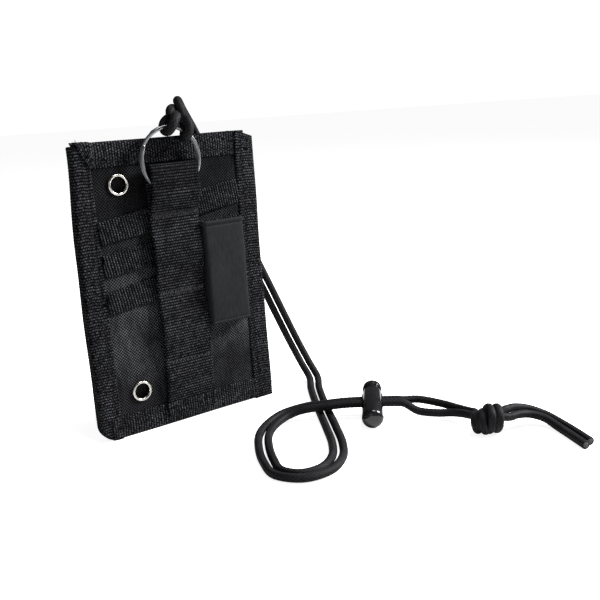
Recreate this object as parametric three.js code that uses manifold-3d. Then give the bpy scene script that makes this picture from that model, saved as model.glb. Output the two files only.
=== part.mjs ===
// Neck pouch wallet: a flat, bound fabric pouch that stands on its bottom edge, with a webbing strap, a key ring
// in a webbing loop, an elastic pen loop, eyelets, and a doubled neck cord with a cord lock and a stopper knot.
// Millimetres, +Z up. The strap side faces -Y and the window side faces +Y.
import * as THREE from "three";
import { mergeVertices } from "three/addons/utils/BufferGeometryUtils.js";
import Module from "manifold-3d";

const wasm = await Module();
wasm.setup();

// ---- Driving dimensions ----
const WIDTH = 95; // pouch, edge to edge
const HEIGHT = 135; // pouch, bottom edge to top edge
const GAP = 0.3; // air between pieces that touch in use
const FINE = { strap: 32, ring: 56, ringSection: 10, hitch: 10, hitchSection: 12, eyelet: 28 }; // mesh divisions

const TAPE = { face: 11, thick: 0.6, halfDepth: 3.3 }; // binding tape folded over each edge
const SIDE_INNER = WIDTH / 2 - TAPE.face; // x where the side bindings end
const BOTTOM_INNER = TAPE.face; // z where the bottom binding ends
const TOP_INNER = HEIGHT - TAPE.face; // z where the top bindings start
const PANEL_INSET = TAPE.thick + 0.4; // from the pouch's outline to the edge of each layer

// Layers of the pouch, each as its [rear, front] faces along Y.
const LAYER = {
  rearPanel: [-2.6, -2.1],
  stiffener: [-1.85, -1.15],
  eyeletWasher: [-0.95, -0.55],
  divider: [-0.2, 0.1],
  window: [1.15, 1.45],
  frontPanel: [2.0, 2.6],
  patchField: [2.9, 4.1],
};
const MOUTH = { rearLip: 0.5, frontLip: 0.8, lipThick: 0.25 }; // the slot between the two top bindings

const WINDOW = { width: 58, bottom: 14, top: 100, corner: 3, overlap: 4 };
const PATCH = { width: 58, bottom: 103, top: 121.5 };

const BAND = { height: 11.7, thick: 1.0, slope: Math.tan(THREE.MathUtils.degToRad(9.5)), pitch: 16 };
const BAND_TOP_LEFT = 100.7; // z of the upper band's top edge at its left end
const BAND_REAR = LAYER.rearPanel[0] - GAP; // y of the face that lies on the panel

const STRAP = { width: 25, thick: 1.4, bottom: BOTTOM_INNER + GAP, top: 103.3 };
const STRAP_INNER = BAND_REAR - BAND.thick - GAP; // y of the strap's inner face where it is sewn down
const TACKS = { lower: 31, middle: 64.1, upper: 101 }; // z of the sewn rows
const TACK = { width: 23, height: 1.8, thick: 0.5 };
const BOWS = [
  [STRAP.bottom, TACKS.lower, 0.7],
  [TACKS.lower, TACKS.middle, 1.7],
  [TACKS.middle, TACKS.upper, 2.3],
]; // from z, to z, and how far the strap stands off between two rows

const RING = { radius: 14.3, radial: 1.9, axial: 2.4, centreZ: 125.2, planeY: -7.3 };
const LOOP = { thick: 1.3, cavityHalf: 2.0, foldZ: 120.2, cavityFront: 110.2, cavityBottom: 105.6, bottom: 103.6 };
const LOOP_REAR = { outerBottom: 106.6, cavityBottom: 107.6, cavityDepth: 0.7 }; // the loop's leg beside the pouch
const HITCH = { radius: 4.0, bore: 1.9, centreDeg: 20.5, halfDeg: 28 };

const PEN_LOOP = {
  left: 12.8,
  right: 35.8,
  bottom: 45,
  top: 95,
  foot: 2.2,
  rise: 2.4,
  tunnel: 4.15,
  thick: 1.2,
  slant: 0.6, // set-back of the outer corners, as a share of the thickness
};

const EYELET = { x: -24.8, upperZ: 116, lowerZ: 20.3, hole: 3.3, barrel: 3.75, flange: 4.9, head: 0.9 };
const EYELET_LIP = { inner: 0.3, shoulder: 0.9, edge: 0.3, edgeHeight: 0.7, throatHeight: 0.6 }; // head's rounding
const EYELET_CLEARANCE = 0.25; // between the eyelet's barrel and the layers it passes through

const CORD = { diameter: 3.6, sides: 8, steps: 56, tailSteps: 8 };
const LOCK = {
  centre: [61.5, -66, 7.6],
  headingDeg: -41, // along the cords
  tiltDeg: 11, // the button end stands higher
  radius: 4.9,
  bore: 4.25,
  tip: -17.3,
  domeLength: 3,
  boreEnd: -9,
  rim: 6,
  rimRound: 0.3,
  slotHalfHeight: 2.5,
  slotHalfLength: 4.3,
  plunger: 3.95,
  plungerFoot: -5.2,
  button: 4.6, // radius of the pressed end
  buttonFoot: 9.3,
  buttonEnd: 14,
  crown: 2.4, // length of the button's rounded end
  travel: 3,
  segments: 32,
};
const SPRING = { radius: 3.2, wire: 0.3, turns: 3, from: -8.5, to: -5.7, sides: 6, steps: 36 };
const KNOT = { centre: [82.6, -116.5, 6.9], radii: [6.7, 6.6, 6.4], headingDeg: -35 };

// The neck cord is doubled. Each row is the middle of the pair (x, y, z), the compass direction from strand A to
// strand B in degrees from +X, half their distance on the level and, where they differ, half their height apart.
const CORD_ROUTE = [
  [5, -7.3, 143.9, 0, 2.9],
  [5.2, -6.6, 146.6, -8, 2.5, 0.6],
  [8, -1.5, 148.8, -30, 1.3, 1.7],
  [13, 4.5, 145.4, -22, 1.8, 0.9],
  [20, 8.5, 136, -15, 2.2],
  [30, 11, 116, -22, 2.15],
  [41, 12.8, 92.5, -28, 2.15],
  [51, 13.5, 71, -30, 2.15],
  [60, 13, 50.5, -30, 2.15],
  [66.5, 11.5, 34, -30, 2.15],
  [71.5, 8.5, 19.5, -30, 2.15],
  [74, 3.5, 9, -29, 2.15],
  [72.5, -5, 3.4, -28, 2.15],
  [64.5, -17, 1.95, -28, 2.15],
  [54, -34.5, 1.95, -29, 2.15],
  [44.5, -51.5, 1.95, -29, 2.15],
  [36, -67, 1.95, -30, 2.2],
  [27, -82.5, 1.95, -37, 2.25],
  [18.5, -93, 1.95, -52, 2.3],
  [8, -99, 1.95, -75, 2.3],
  [-2.5, -97.5, 1.95, -110, 2.3],
  [-8, -88.5, 1.95, -162, 2.25],
  [-4.5, -76, 1.95, -199, 2.25],
  [2.5, -62, 1.95, -207, 2.25],
  [10.5, -50.5, 1.95, -220, 2.2],
  [20.5, -42.5, 2.1, -240, 2.2],
  [29.5, -40, 3.2, -265, 2.15],
  [37.5, -44.2, 5.2, -296, 2.1],
  [45, -51.4, 6.6, -309, 2.1],
  [52.3, -58, 7.5, -311, 2.1],
  [61.5, -66, 7.6, -311, 2.1],
  [70, -73.4, 7.5, -311, 2.1],
  [72.6, -75.7, 7.1, -311, 2.35],
  [76.8, -80.2, 5.5, -314, 4, 1.3],
  [82, -88, 4.6, -328, 3.8, 1],
  [85.4, -96.4, 4.6, -340, 2.4, 0.3],
  [85.2, -102.4, 5.4, -344, 2.15],
  [84.1, -107.4, 6.4, -344, 2.15],
];
// The two cut ends, from the knot on, in the same form.
const TAIL_ROUTE = [
  [91.2, -120.8, 8, 86, 1.75, 1.1],
  [97.4, -121, 7.6, 82, 1.75, 1.1],
  [104, -123, 6, 58, 1.95, 0.6],
  [107.8, -128.4, 4, 32, 2.15],
  [107.2, -136.5, 2.4, 20, 2.3],
  [103.8, -146.6, 1.95, 15, 2.35],
  [100, -155.6, 1.95, 14, 2.35],
];

// ---- Materials ----
const cloth = (colour) => new THREE.MeshStandardMaterial({ color: colour, roughness: 0.9, metalness: 0 });
const MATERIAL = {
  oxford: cloth(0x17181a),
  lining: cloth(0x101112),
  webbing: cloth(0x141517),
  tape: cloth(0x121315),
  elastic: cloth(0x242528),
  thread: cloth(0x1b1c1f),
  loopPile: cloth(0x18191b),
  cord: cloth(0x1a1b1e),
  board: new THREE.MeshStandardMaterial({ color: 0x2a2a2a, roughness: 0.7, metalness: 0 }),
  vinyl: new THREE.MeshStandardMaterial({
    color: 0xdfe6e8,
    roughness: 0.15,
    metalness: 0,
    transparent: true,
    opacity: 0.35,
  }),
  nickel: new THREE.MeshStandardMaterial({ color: 0xd8d6d0, roughness: 0.2, metalness: 1 }),
  steel: new THREE.MeshStandardMaterial({ color: 0x8e9094, roughness: 0.35, metalness: 1 }),
  glossPlastic: new THREE.MeshStandardMaterial({ color: 0x0c0c0e, roughness: 0.15, metalness: 0 }),
};

// ---- Helpers ----
const X = new THREE.Vector3(1, 0, 0);
const Y = new THREE.Vector3(0, 1, 0);
const Z = new THREE.Vector3(0, 0, 1);

function addPiece(group, name, geometry, material) {
  const mesh = new THREE.Mesh(geometry, material);
  mesh.name = name;
  group.add(mesh);
  return mesh;
}

function polygon(points) {
  return new THREE.Shape(points.map(([x, y]) => new THREE.Vector2(x, y)));
}

function rectangle(left, right, bottom, top) {
  return polygon([
    [left, bottom],
    [right, bottom],
    [right, top],
    [left, top],
  ]);
}

function circle(x, y, radius) {
  const path = new THREE.Path();
  path.absarc(x, y, radius, 0, 2 * Math.PI, true);
  return path;
}

// A flat piece: an outline in X and Z, between two faces along Y.
function flatPiece(outline, [rear, front]) {
  const geometry = new THREE.ExtrudeGeometry(outline, { depth: front - rear, bevelEnabled: false, curveSegments: 12 });
  return geometry.rotateX(Math.PI / 2).translate(0, front, 0);
}

// A side profile in Y and Z, carried across the width along X.
function acrossWidth(profile, width) {
  const geometry = new THREE.ExtrudeGeometry(profile, { depth: width, bevelEnabled: false, curveSegments: 12 });
  return geometry.applyMatrix4(new THREE.Matrix4().makeBasis(Y, Z, X)).translate(-width / 2, 0, 0);
}

function solidOf(geometry) {
  const bare = geometry.clone();
  bare.deleteAttribute("normal");
  bare.deleteAttribute("uv");
  const merged = mergeVertices(bare, 1e-4);
  return new wasm.Manifold(
    new wasm.Mesh({
      numProp: 3,
      vertProperties: merged.attributes.position.array,
      triVerts: new Uint32Array(merged.index.array),
    }),
  );
}

function geometryOf(solid) {
  const mesh = solid.getMesh();
  const geometry = new THREE.BufferGeometry();
  geometry.setAttribute("position", new THREE.BufferAttribute(mesh.vertProperties, 3));
  geometry.setIndex(new THREE.BufferAttribute(mesh.triVerts, 1));
  geometry.computeVertexNormals();
  return geometry;
}

function ellipseShape(radiusX, radiusY, sides) {
  const points = [];
  for (let i = 0; i < sides; i++) {
    const angle = (2 * Math.PI * (i + 0.5)) / sides;
    points.push([radiusX * Math.cos(angle), radiusY * Math.sin(angle)]);
  }
  return polygon(points);
}

// ---- Pouch layers ----
const LAYER_LEFT = -WIDTH / 2 + PANEL_INSET;
const LAYER_RIGHT = WIDTH / 2 - PANEL_INSET;
const LAYER_TOP = HEIGHT - PANEL_INSET;

function layerOutline() {
  return rectangle(LAYER_LEFT, LAYER_RIGHT, PANEL_INSET, LAYER_TOP);
}

function eyeletedOutline() {
  const outline = layerOutline();
  const radius = EYELET.barrel + EYELET_CLEARANCE;
  outline.holes.push(circle(EYELET.x, EYELET.upperZ, radius), circle(EYELET.x, EYELET.lowerZ, radius));
  return outline;
}

function windowCutOut() {
  const half = WINDOW.width / 2;
  const { bottom, top, corner } = WINDOW;
  const path = new THREE.Path();
  path.moveTo(-half, bottom + corner);
  path.lineTo(-half, top - corner);
  path.absarc(-half + corner, top - corner, corner, Math.PI, Math.PI / 2, true);
  path.lineTo(half - corner, top);
  path.absarc(half - corner, top - corner, corner, Math.PI / 2, 0, true);
  path.lineTo(half, bottom + corner);
  path.absarc(half - corner, bottom + corner, corner, 0, -Math.PI / 2, true);
  path.lineTo(-half + corner, bottom);
  path.absarc(-half + corner, bottom + corner, corner, -Math.PI / 2, -Math.PI, true);
  return path;
}

function addLayers(group) {
  addPiece(group, "rear_panel", flatPiece(eyeletedOutline(), LAYER.rearPanel), MATERIAL.oxford);
  addPiece(group, "stiffener_board", flatPiece(eyeletedOutline(), LAYER.stiffener), MATERIAL.board);
  addPiece(group, "pocket_divider", flatPiece(layerOutline(), LAYER.divider), MATERIAL.lining);

  const halfSheet = WINDOW.width / 2 + WINDOW.overlap;
  const sheet = rectangle(-halfSheet, halfSheet, WINDOW.bottom - WINDOW.overlap, WINDOW.top + WINDOW.overlap);
  addPiece(group, "id_window", flatPiece(sheet, LAYER.window), MATERIAL.vinyl);

  const front = layerOutline();
  front.holes.push(windowCutOut());
  addPiece(group, "front_panel", flatPiece(front, LAYER.frontPanel), MATERIAL.oxford);

  const patch = rectangle(-PATCH.width / 2, PATCH.width / 2, PATCH.bottom, PATCH.top);
  addPiece(group, "patch_field", flatPiece(patch, LAYER.patchField), MATERIAL.loopPile);
}

// ---- Binding tape ----
// A channel section in (across, along Y): the fold is at `fold`, and both lips reach to `lip`.
function channel(fold, lip, rear, front, frontThick) {
  const inward = Math.sign(lip - fold);
  return [
    [fold, rear],
    [lip, rear],
    [lip, rear + TAPE.thick],
    [fold + inward * TAPE.thick, rear + TAPE.thick],
    [fold + inward * TAPE.thick, front - frontThick],
    [lip, front - frontThick],
    [lip, front],
    [fold, front],
  ];
}

function sideBinding(sign) {
  const edge = (sign * WIDTH) / 2;
  const section = channel(edge, sign * SIDE_INNER, -TAPE.halfDepth, TAPE.halfDepth, TAPE.thick);
  return new THREE.ExtrudeGeometry(polygon(section), { depth: HEIGHT, bevelEnabled: false });
}

function levelBinding(fold, lip, rear, front, frontThick) {
  const section = channel(fold, lip, rear, front, frontThick).map(([z, y]) => [y, z]);
  return acrossWidth(polygon(section), 2 * (SIDE_INNER - GAP));
}

function frontTopBinding() {
  const section = [
    [MOUTH.frontLip, TOP_INNER],
    [MOUTH.frontLip + MOUTH.lipThick, TOP_INNER],
    [MOUTH.frontLip + MOUTH.lipThick, HEIGHT - TAPE.thick],
    [TAPE.halfDepth - TAPE.thick, HEIGHT - TAPE.thick],
    [TAPE.halfDepth - TAPE.thick, TOP_INNER],
    [TAPE.halfDepth, TOP_INNER],
    [TAPE.halfDepth, HEIGHT],
    [MOUTH.frontLip, HEIGHT],
  ];
  return acrossWidth(polygon(section), 2 * (SIDE_INNER - GAP));
}

function addBindings(group) {
  const { halfDepth, thick } = TAPE;
  addPiece(group, "binding_left", sideBinding(-1), MATERIAL.tape);
  addPiece(group, "binding_right", sideBinding(1), MATERIAL.tape);
  const bottom = levelBinding(0, BOTTOM_INNER, -halfDepth, halfDepth, thick);
  addPiece(group, "binding_bottom", bottom, MATERIAL.tape);
  const rearTop = levelBinding(HEIGHT, TOP_INNER, -halfDepth, MOUTH.rearLip, MOUTH.lipThick);
  addPiece(group, "binding_top_rear", rearTop, MATERIAL.tape);
  addPiece(group, "binding_top_front", frontTopBinding(), MATERIAL.tape);
}

// ---- Slanted webbing bands ----
function addBands(group) {
  const half = SIDE_INNER - GAP;
  const rise = 2 * half * BAND.slope;
  ["upper", "middle", "lower"].forEach((place, i) => {
    const top = BAND_TOP_LEFT - i * BAND.pitch;
    const outline = polygon([
      [-half, top - BAND.height],
      [half, top - BAND.height + rise],
      [half, top + rise],
      [-half, top],
    ]);
    const faces = [BAND_REAR - BAND.thick, BAND_REAR];
    addPiece(group, `slant_band_${place}`, flatPiece(outline, faces), MATERIAL.webbing);
  });
}

// ---- Centre strap ----
function strapOffset(z) {
  const bow = BOWS.find(([from, to]) => z >= from && z <= to);
  if (!bow) return 0;
  const [from, to, height] = bow;
  return height * Math.sin((Math.PI * (z - from)) / (to - from)) ** 2;
}

function addStrap(group) {
  const steps = FINE.strap;
  const inner = [];
  const outer = [];
  for (let i = 0; i <= steps; i++) {
    const z = STRAP.bottom + ((STRAP.top - STRAP.bottom) * i) / steps;
    const y = STRAP_INNER - strapOffset(z);
    inner.push([y, z]);
    outer.push([y - STRAP.thick, z]);
  }
  const profile = polygon([...inner, ...outer.reverse()]);
  addPiece(group, "carry_strap", acrossWidth(profile, STRAP.width), MATERIAL.webbing);
}

function addTacks(group) {
  const rear = STRAP_INNER - STRAP.thick - GAP;
  for (const [place, z] of Object.entries(TACKS)) {
    const bar = new THREE.BoxGeometry(TACK.width, TACK.thick, TACK.height);
    bar.translate(0, rear - TACK.thick / 2, z);
    addPiece(group, `bartack_${place}`, bar, MATERIAL.thread);
  }
}

// ---- Ring loop, ring and hitch ----
function addRingLoop(group) {
  const { thick, cavityHalf, foldZ, cavityFront, cavityBottom, bottom } = LOOP;
  const outerHalf = cavityHalf + thick;
  const y = RING.planeY;
  const inner = STRAP_INNER;
  const profile = new THREE.Shape();
  profile.moveTo(inner, bottom);
  profile.lineTo(y + outerHalf, LOOP_REAR.outerBottom);
  profile.lineTo(y + outerHalf, foldZ);
  profile.absarc(y, foldZ, outerHalf, 0, Math.PI, false);
  profile.lineTo(y - outerHalf, cavityFront);
  profile.lineTo(inner - 2 * STRAP.thick, bottom);
  const cavity = new THREE.Path();
  cavity.moveTo(y + cavityHalf, LOOP_REAR.cavityBottom);
  cavity.lineTo(y + cavityHalf, foldZ);
  cavity.absarc(y, foldZ, cavityHalf, 0, Math.PI, false);
  cavity.lineTo(y - cavityHalf, cavityFront);
  cavity.lineTo(y + LOOP_REAR.cavityDepth, cavityBottom);
  profile.holes.push(cavity);
  addPiece(group, "ring_loop", acrossWidth(profile, STRAP.width), MATERIAL.webbing);
}

function ringSection() {
  const points = [];
  const sides = FINE.ringSection;
  for (let i = 0; i <= sides; i++) {
    const angle = (2 * Math.PI * i) / sides;
    const outward = RING.radius + (RING.radial / 2) * Math.cos(angle);
    points.push(new THREE.Vector2(outward, (RING.axial / 2) * Math.sin(angle)));
  }
  return points;
}

function addSplitRing(group) {
  const ring = new THREE.LatheGeometry(ringSection(), FINE.ring);
  ring.translate(0, RING.planeY, RING.centreZ);
  addPiece(group, "split_ring", ring, MATERIAL.steel);
}

class RingArc extends THREE.Curve {
  getPoint(t, target = new THREE.Vector3()) {
    const degrees = HITCH.centreDeg + HITCH.halfDeg * (2 * t - 1);
    const angle = THREE.MathUtils.degToRad(degrees);
    return target.set(
      RING.radius * Math.sin(angle),
      RING.planeY,
      RING.centreZ + RING.radius * Math.cos(angle),
    );
  }
}

function addHitch(group) {
  const section = ellipseShape(HITCH.radius, HITCH.radius, FINE.hitchSection);
  const bore = new THREE.Path(ellipseShape(HITCH.bore, HITCH.bore, FINE.hitchSection).getPoints().reverse());
  section.holes.push(bore);
  const sleeve = new THREE.ExtrudeGeometry(section, { steps: FINE.hitch, extrudePath: new RingArc() });
  addPiece(group, "ring_hitch", sleeve, MATERIAL.cord);
}

// ---- Elastic pen loop ----
function addPenLoop(group) {
  const { left, right, bottom, top, foot, rise, tunnel, thick } = PEN_LOOP;
  const sewn = STRAP_INNER;
  const crown = sewn - tunnel;
  const slant = thick * PEN_LOOP.slant; // keeps the sloping sides as thick as the crown
  const section = polygon([
    [left, sewn],
    [left + foot, sewn],
    [left + foot + rise, crown],
    [right - foot - rise, crown],
    [right - foot, sewn],
    [right, sewn],
    [right, sewn - thick],
    [right - foot + slant, sewn - thick],
    [right - foot - rise + slant, crown - thick],
    [left + foot + rise - slant, crown - thick],
    [left + foot - slant, sewn - thick],
    [left, sewn - thick],
  ]);
  const loop = new THREE.ExtrudeGeometry(section, { depth: top - bottom, bevelEnabled: false });
  addPiece(group, "pen_loop", loop.translate(0, 0, bottom), MATERIAL.elastic);
}

// ---- Eyelets ----
function latheAt(profile, segments, x, z) {
  const points = profile.map(([r, y]) => new THREE.Vector2(r, y));
  return new THREE.LatheGeometry(points, segments).translate(x, 0, z);
}

function addEyelets(group) {
  const { hole, barrel, flange, head } = EYELET;
  const face = LAYER.rearPanel[0] - GAP;
  const end = LAYER.eyeletWasher[1];
  const eyelet = [
    [hole, end],
    [barrel, end],
    [barrel, face],
    [flange, face],
    [flange - EYELET_LIP.edge, face - head * EYELET_LIP.edgeHeight],
    [flange - EYELET_LIP.shoulder, face - head],
    [hole + EYELET_LIP.inner, face - head],
    [hole, face - head * EYELET_LIP.throatHeight],
    [hole, end],
  ];
  const washer = [
    [barrel + EYELET_CLEARANCE, LAYER.eyeletWasher[0]],
    [barrel + EYELET_CLEARANCE, LAYER.eyeletWasher[1]],
    [flange, LAYER.eyeletWasher[1]],
    [flange, LAYER.eyeletWasher[0]],
    [barrel + EYELET_CLEARANCE, LAYER.eyeletWasher[0]],
  ];
  for (const [place, z] of [
    ["upper", EYELET.upperZ],
    ["lower", EYELET.lowerZ],
  ]) {
    addPiece(group, `eyelet_${place}`, latheAt(eyelet.toReversed(), FINE.eyelet, EYELET.x, z), MATERIAL.nickel);
    addPiece(group, `eyelet_washer_${place}`, latheAt(washer.toReversed(), FINE.eyelet, EYELET.x, z), MATERIAL.nickel);
  }
}

// ---- Neck cord ----
function strandCurve(route, side) {
  const points = route.map(([x, y, z, compass, half, rise = 0]) => {
    const angle = THREE.MathUtils.degToRad(compass);
    const offset = new THREE.Vector3(half * Math.cos(angle), half * Math.sin(angle), rise);
    return new THREE.Vector3(x, y, z).addScaledVector(offset, side);
  });
  return new THREE.CatmullRomCurve3(points, false, "centripetal");
}

function cordTube(route, side, steps) {
  const section = ellipseShape(CORD.diameter / 2, CORD.diameter / 2, CORD.sides);
  return new THREE.ExtrudeGeometry(section, { steps, extrudePath: strandCurve(route, side) });
}

function addCords(group) {
  for (const [strand, side] of [
    ["a", -1],
    ["b", 1],
  ]) {
    addPiece(group, `neck_cord_${strand}`, cordTube(CORD_ROUTE, side, CORD.steps), MATERIAL.cord);
    addPiece(group, `cord_tail_${strand}`, cordTube(TAIL_ROUTE, side, CORD.tailSteps), MATERIAL.cord);
  }
  const knot = new THREE.SphereGeometry(1, 18, 12).scale(...KNOT.radii);
  knot.rotateZ(THREE.MathUtils.degToRad(KNOT.headingDeg)).translate(...KNOT.centre);
  addPiece(group, "stopper_knot", knot, MATERIAL.cord);
}

// ---- Cord lock: made along its own Y axis, with the cords passing along X ----
function slotCutter(from, to) {
  const half = LOCK.slotHalfHeight;
  const outline = new THREE.Shape();
  outline.moveTo(from + half, -half);
  outline.lineTo(to - half, -half);
  outline.absarc(to - half, 0, half, -Math.PI / 2, Math.PI / 2, false);
  outline.lineTo(from + half, half);
  outline.absarc(from + half, 0, half, Math.PI / 2, (3 * Math.PI) / 2, false);
  return solidOf(acrossWidth(outline, 4 * LOCK.radius));
}

function lockBarrel() {
  const { radius, bore, tip, domeLength, boreEnd, rim, rimRound } = LOCK;
  const profile = [];
  const domeSteps = 8;
  for (let i = 0; i <= domeSteps; i++) {
    const angle = (Math.PI / 2) * (i / domeSteps);
    profile.push([radius * Math.sin(angle), tip + domeLength * (1 - Math.cos(angle))]);
  }
  profile[0][0] = 0;
  profile.push([radius, rim - rimRound], [radius - rimRound, rim], [bore, rim], [bore, boreEnd], [0, boreEnd]);
  const body = solidOf(latheAt(profile, LOCK.segments, 0, 0));
  return geometryOf(body.subtract(slotCutter(-LOCK.slotHalfLength, LOCK.slotHalfLength)));
}

function lockPlunger() {
  const { plunger, plungerFoot, button, buttonFoot, buttonEnd, crown, travel, slotHalfLength } = LOCK;
  const profile = [
    [0, plungerFoot],
    [plunger, plungerFoot],
    [plunger, buttonFoot],
    [button, buttonFoot],
  ];
  const crownSteps = 5;
  for (let i = 0; i <= crownSteps; i++) {
    const angle = (Math.PI / 2) * (i / crownSteps);
    profile.push([button * Math.cos(angle), buttonEnd - crown + crown * Math.sin(angle)]);
  }
  profile[profile.length - 1][0] = 0;
  const body = solidOf(latheAt(profile, LOCK.segments, 0, 0));
  const slot = slotCutter(-slotHalfLength, slotHalfLength + travel);
  return geometryOf(body.subtract(slot));
}

class Helix extends THREE.Curve {
  getPoint(t, target = new THREE.Vector3()) {
    const angle = 2 * Math.PI * SPRING.turns * t;
    const along = SPRING.from + (SPRING.to - SPRING.from) * t;
    return target.set(SPRING.radius * Math.cos(angle), along, SPRING.radius * Math.sin(angle));
  }
}

function addCordLock(group) {
  const lock = new THREE.Group();
  lock.position.set(...LOCK.centre);
  const tilt = THREE.MathUtils.degToRad(LOCK.tiltDeg);
  lock.rotation.set(tilt, 0, THREE.MathUtils.degToRad(LOCK.headingDeg), "ZXY");
  group.add(lock);
  addPiece(lock, "cord_lock_barrel", lockBarrel(), MATERIAL.glossPlastic);
  addPiece(lock, "cord_lock_plunger", lockPlunger(), MATERIAL.glossPlastic);
  const wire = ellipseShape(SPRING.wire, SPRING.wire, SPRING.sides);
  const spring = new THREE.ExtrudeGeometry(wire, { steps: SPRING.steps, extrudePath: new Helix() });
  addPiece(lock, "cord_lock_spring", spring, MATERIAL.steel);
}

// ---- Assembly ----
// The origin is under the middle of the pouch with its ring and loop, on the surface that it stands on.
const rearmost = RING.planeY - LOOP.cavityHalf - LOOP.thick;
const foremost = LAYER.patchField[1];

const assembly = new THREE.Group();
assembly.position.y = -(rearmost + foremost) / 2;
addLayers(assembly);
addBindings(assembly);
addBands(assembly);
addStrap(assembly);
addTacks(assembly);
addRingLoop(assembly);
addSplitRing(assembly);
addHitch(assembly);
addPenLoop(assembly);
addEyelets(assembly);
addCords(assembly);
addCordLock(assembly);

const pouch = new THREE.Group();
pouch.add(assembly);

export default pouch;
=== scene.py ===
"""Neck pouch wallet: the visible fabric, webbing, cord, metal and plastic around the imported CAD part.

Lengths in this script are millimetres in the part's own making frame, whose Y zero is the pouch's mid-plane;
row_frame() turns them into metres in the row frame. X runs across the pouch, Y through it and Z up.
"""

import math

import bmesh
import bpy
import numpy as np
from mathutils import Matrix, Vector


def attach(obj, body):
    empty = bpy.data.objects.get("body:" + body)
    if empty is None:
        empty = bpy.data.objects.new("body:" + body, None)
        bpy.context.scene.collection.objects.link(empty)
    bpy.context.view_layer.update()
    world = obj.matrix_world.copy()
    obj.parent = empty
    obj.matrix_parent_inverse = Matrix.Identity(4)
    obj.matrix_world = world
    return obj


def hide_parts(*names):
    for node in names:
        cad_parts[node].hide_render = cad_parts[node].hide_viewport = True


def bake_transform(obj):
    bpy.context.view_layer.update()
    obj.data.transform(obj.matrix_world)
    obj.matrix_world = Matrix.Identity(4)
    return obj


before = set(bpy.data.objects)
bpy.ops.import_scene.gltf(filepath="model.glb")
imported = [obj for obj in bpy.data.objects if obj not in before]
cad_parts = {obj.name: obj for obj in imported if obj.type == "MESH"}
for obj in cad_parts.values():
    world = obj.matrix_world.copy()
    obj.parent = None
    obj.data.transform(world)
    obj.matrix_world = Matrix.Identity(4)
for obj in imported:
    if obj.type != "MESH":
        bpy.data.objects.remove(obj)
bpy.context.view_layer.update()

MM = 0.001
MID_PLANE_Y = 3.25  # row-frame Y of the pouch's mid-plane
RNG = np.random.default_rng(7)

# ---- Driving dimensions, as in the part ----
WIDTH = 95.0
HEIGHT = 135.0
TAPE_FACE = 11.0
TAPE_THICK = 0.6
TAPE_HALF_DEPTH = 3.3
TAPE_MID = TAPE_HALF_DEPTH - TAPE_THICK / 2  # from the mid-plane to the middle of the tape's thickness
TAPE_FOLD_RADIUS = 1.5
TOP_TAPE_HALF = 42.4  # x where the top bindings end
CORNER_RADIUS = 7.5  # lower left
CHAMFER = 3.6  # how far the upper right corner is cut down
SIDE_INNER = WIDTH / 2 - TAPE_FACE
REAR_PANEL = (-2.6, -2.1)
STIFFENER = (-1.85, -1.15)
DIVIDER = (-0.2, 0.1)
WINDOW_SHEET = (1.15, 1.45)
FRONT_PANEL = (2.0, 2.6)
PATCH_FACES = (2.9, 4.1)
WINDOW = {"half": 29.0, "bottom": 14.0, "top": 100.0, "overlap": 4.0, "corner": 3.0}
BORDER = {"half_width": 1.5, "half_thick": 0.5, "y": 2.55, "stitch_y": 3.03, "sides": 24}
PATCH = {"half": 29.0, "bottom": 103.0, "top": 121.5, "stitch_inset": 1.6}
PANEL = {"half": 46.5, "bottom": 1.0, "top": 134.0, "columns": 150, "rows": 214}
BAND = {"height": 11.7, "thick": 1.0, "slope": math.tan(math.radians(9.5)), "pitch": 16.0, "top_left": 100.7}
BAND_MID_Y = -3.4
STRAP_WIDTH = 25.0
STRAP_THICK = 1.4
STRAP_MID_Y = -4.9
STRAP_TUCK_Y = -3.55  # middle of the strap's end where it lies under the bottom tape
TACK_Z = {"lower": 31.0, "middle": 64.1, "upper": 101.0}
# Name, rows of thread, threads in a row and how far they heap up.
TACK_ROWS = (("lower", 1, 12, 0.3), ("middle", 2, 26, 0.35), ("upper", 4, 30, 0.9))
TACK_THREAD = {"half_row": 11.4, "row_pitch": 0.62, "length": 1.5, "thick": 0.42, "scatter": 0.14}
# The strap's slack stretches: low end, high end and how far the stretch bows out.
BOWS = (
    (17.0, TACK_Z["lower"], 0.5),
    (TACK_Z["lower"], TACK_Z["middle"], 1.7),
    (TACK_Z["middle"], TACK_Z["upper"], 2.3),
)
RING = {"radius": 14.3, "axial": 2.4, "z": 125.2, "y": -7.3, "turns": 1.94, "wire": (0.82, 0.56)}
RING_START = math.radians(150)
STRAP_ENDS = (6.8, 103.3)
SIDE_TAPE_ENDS = {"left": (0.15, 133.8), "right": (0.1, 135.2)}
TOP_INNER_LIP = 5.0  # how far the top bindings reach down inside the mouth
LOOP_THICK = 1.3
LOOP_FOLD_Z = 120.2
LOOP_FOLD_RADIUS = 2.65
PEN_LOOP = {"left": 12.8, "right": 35.8, "bottom": 45.0, "top": 95.0, "foot": 2.2, "tunnel": 4.15}
PEN_THICK = 1.2
STITCH = {"pitch": 2.6, "length": 1.9, "width": 0.42, "height": 0.34, "slant": 0.12}
SEAM_IN = 2.6  # from a tape's edge to its line of stitching
TAPE_SWAY = 0.09
EYELET = {"x": -24.8, "z": (116.0, 20.3), "hole": 3.5, "barrel": 3.75, "flange": 4.85, "head": 0.95}
EYELET_FACES = (-2.9, -0.55)  # Y of the flange's seat and of the barrel's inner end
LATHE_SIDES = 72
EYELET_CUT_OUT = 4.35  # radius of the hole in the cloth under each eyelet's flange
RIB_PITCH = 1.3
FLOAT_PITCH = 1.25  # from one yarn float to the next along a rib
CORD_RADIUS = 1.8
KNOT_CENTRE = (82.6, -116.5, 6.9)
KNOT_HEADING = math.radians(-35.0)
KNOT_CORE_TRIM = 4.0  # how far the strands inside the knot stay clear of the ends of their lines
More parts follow.
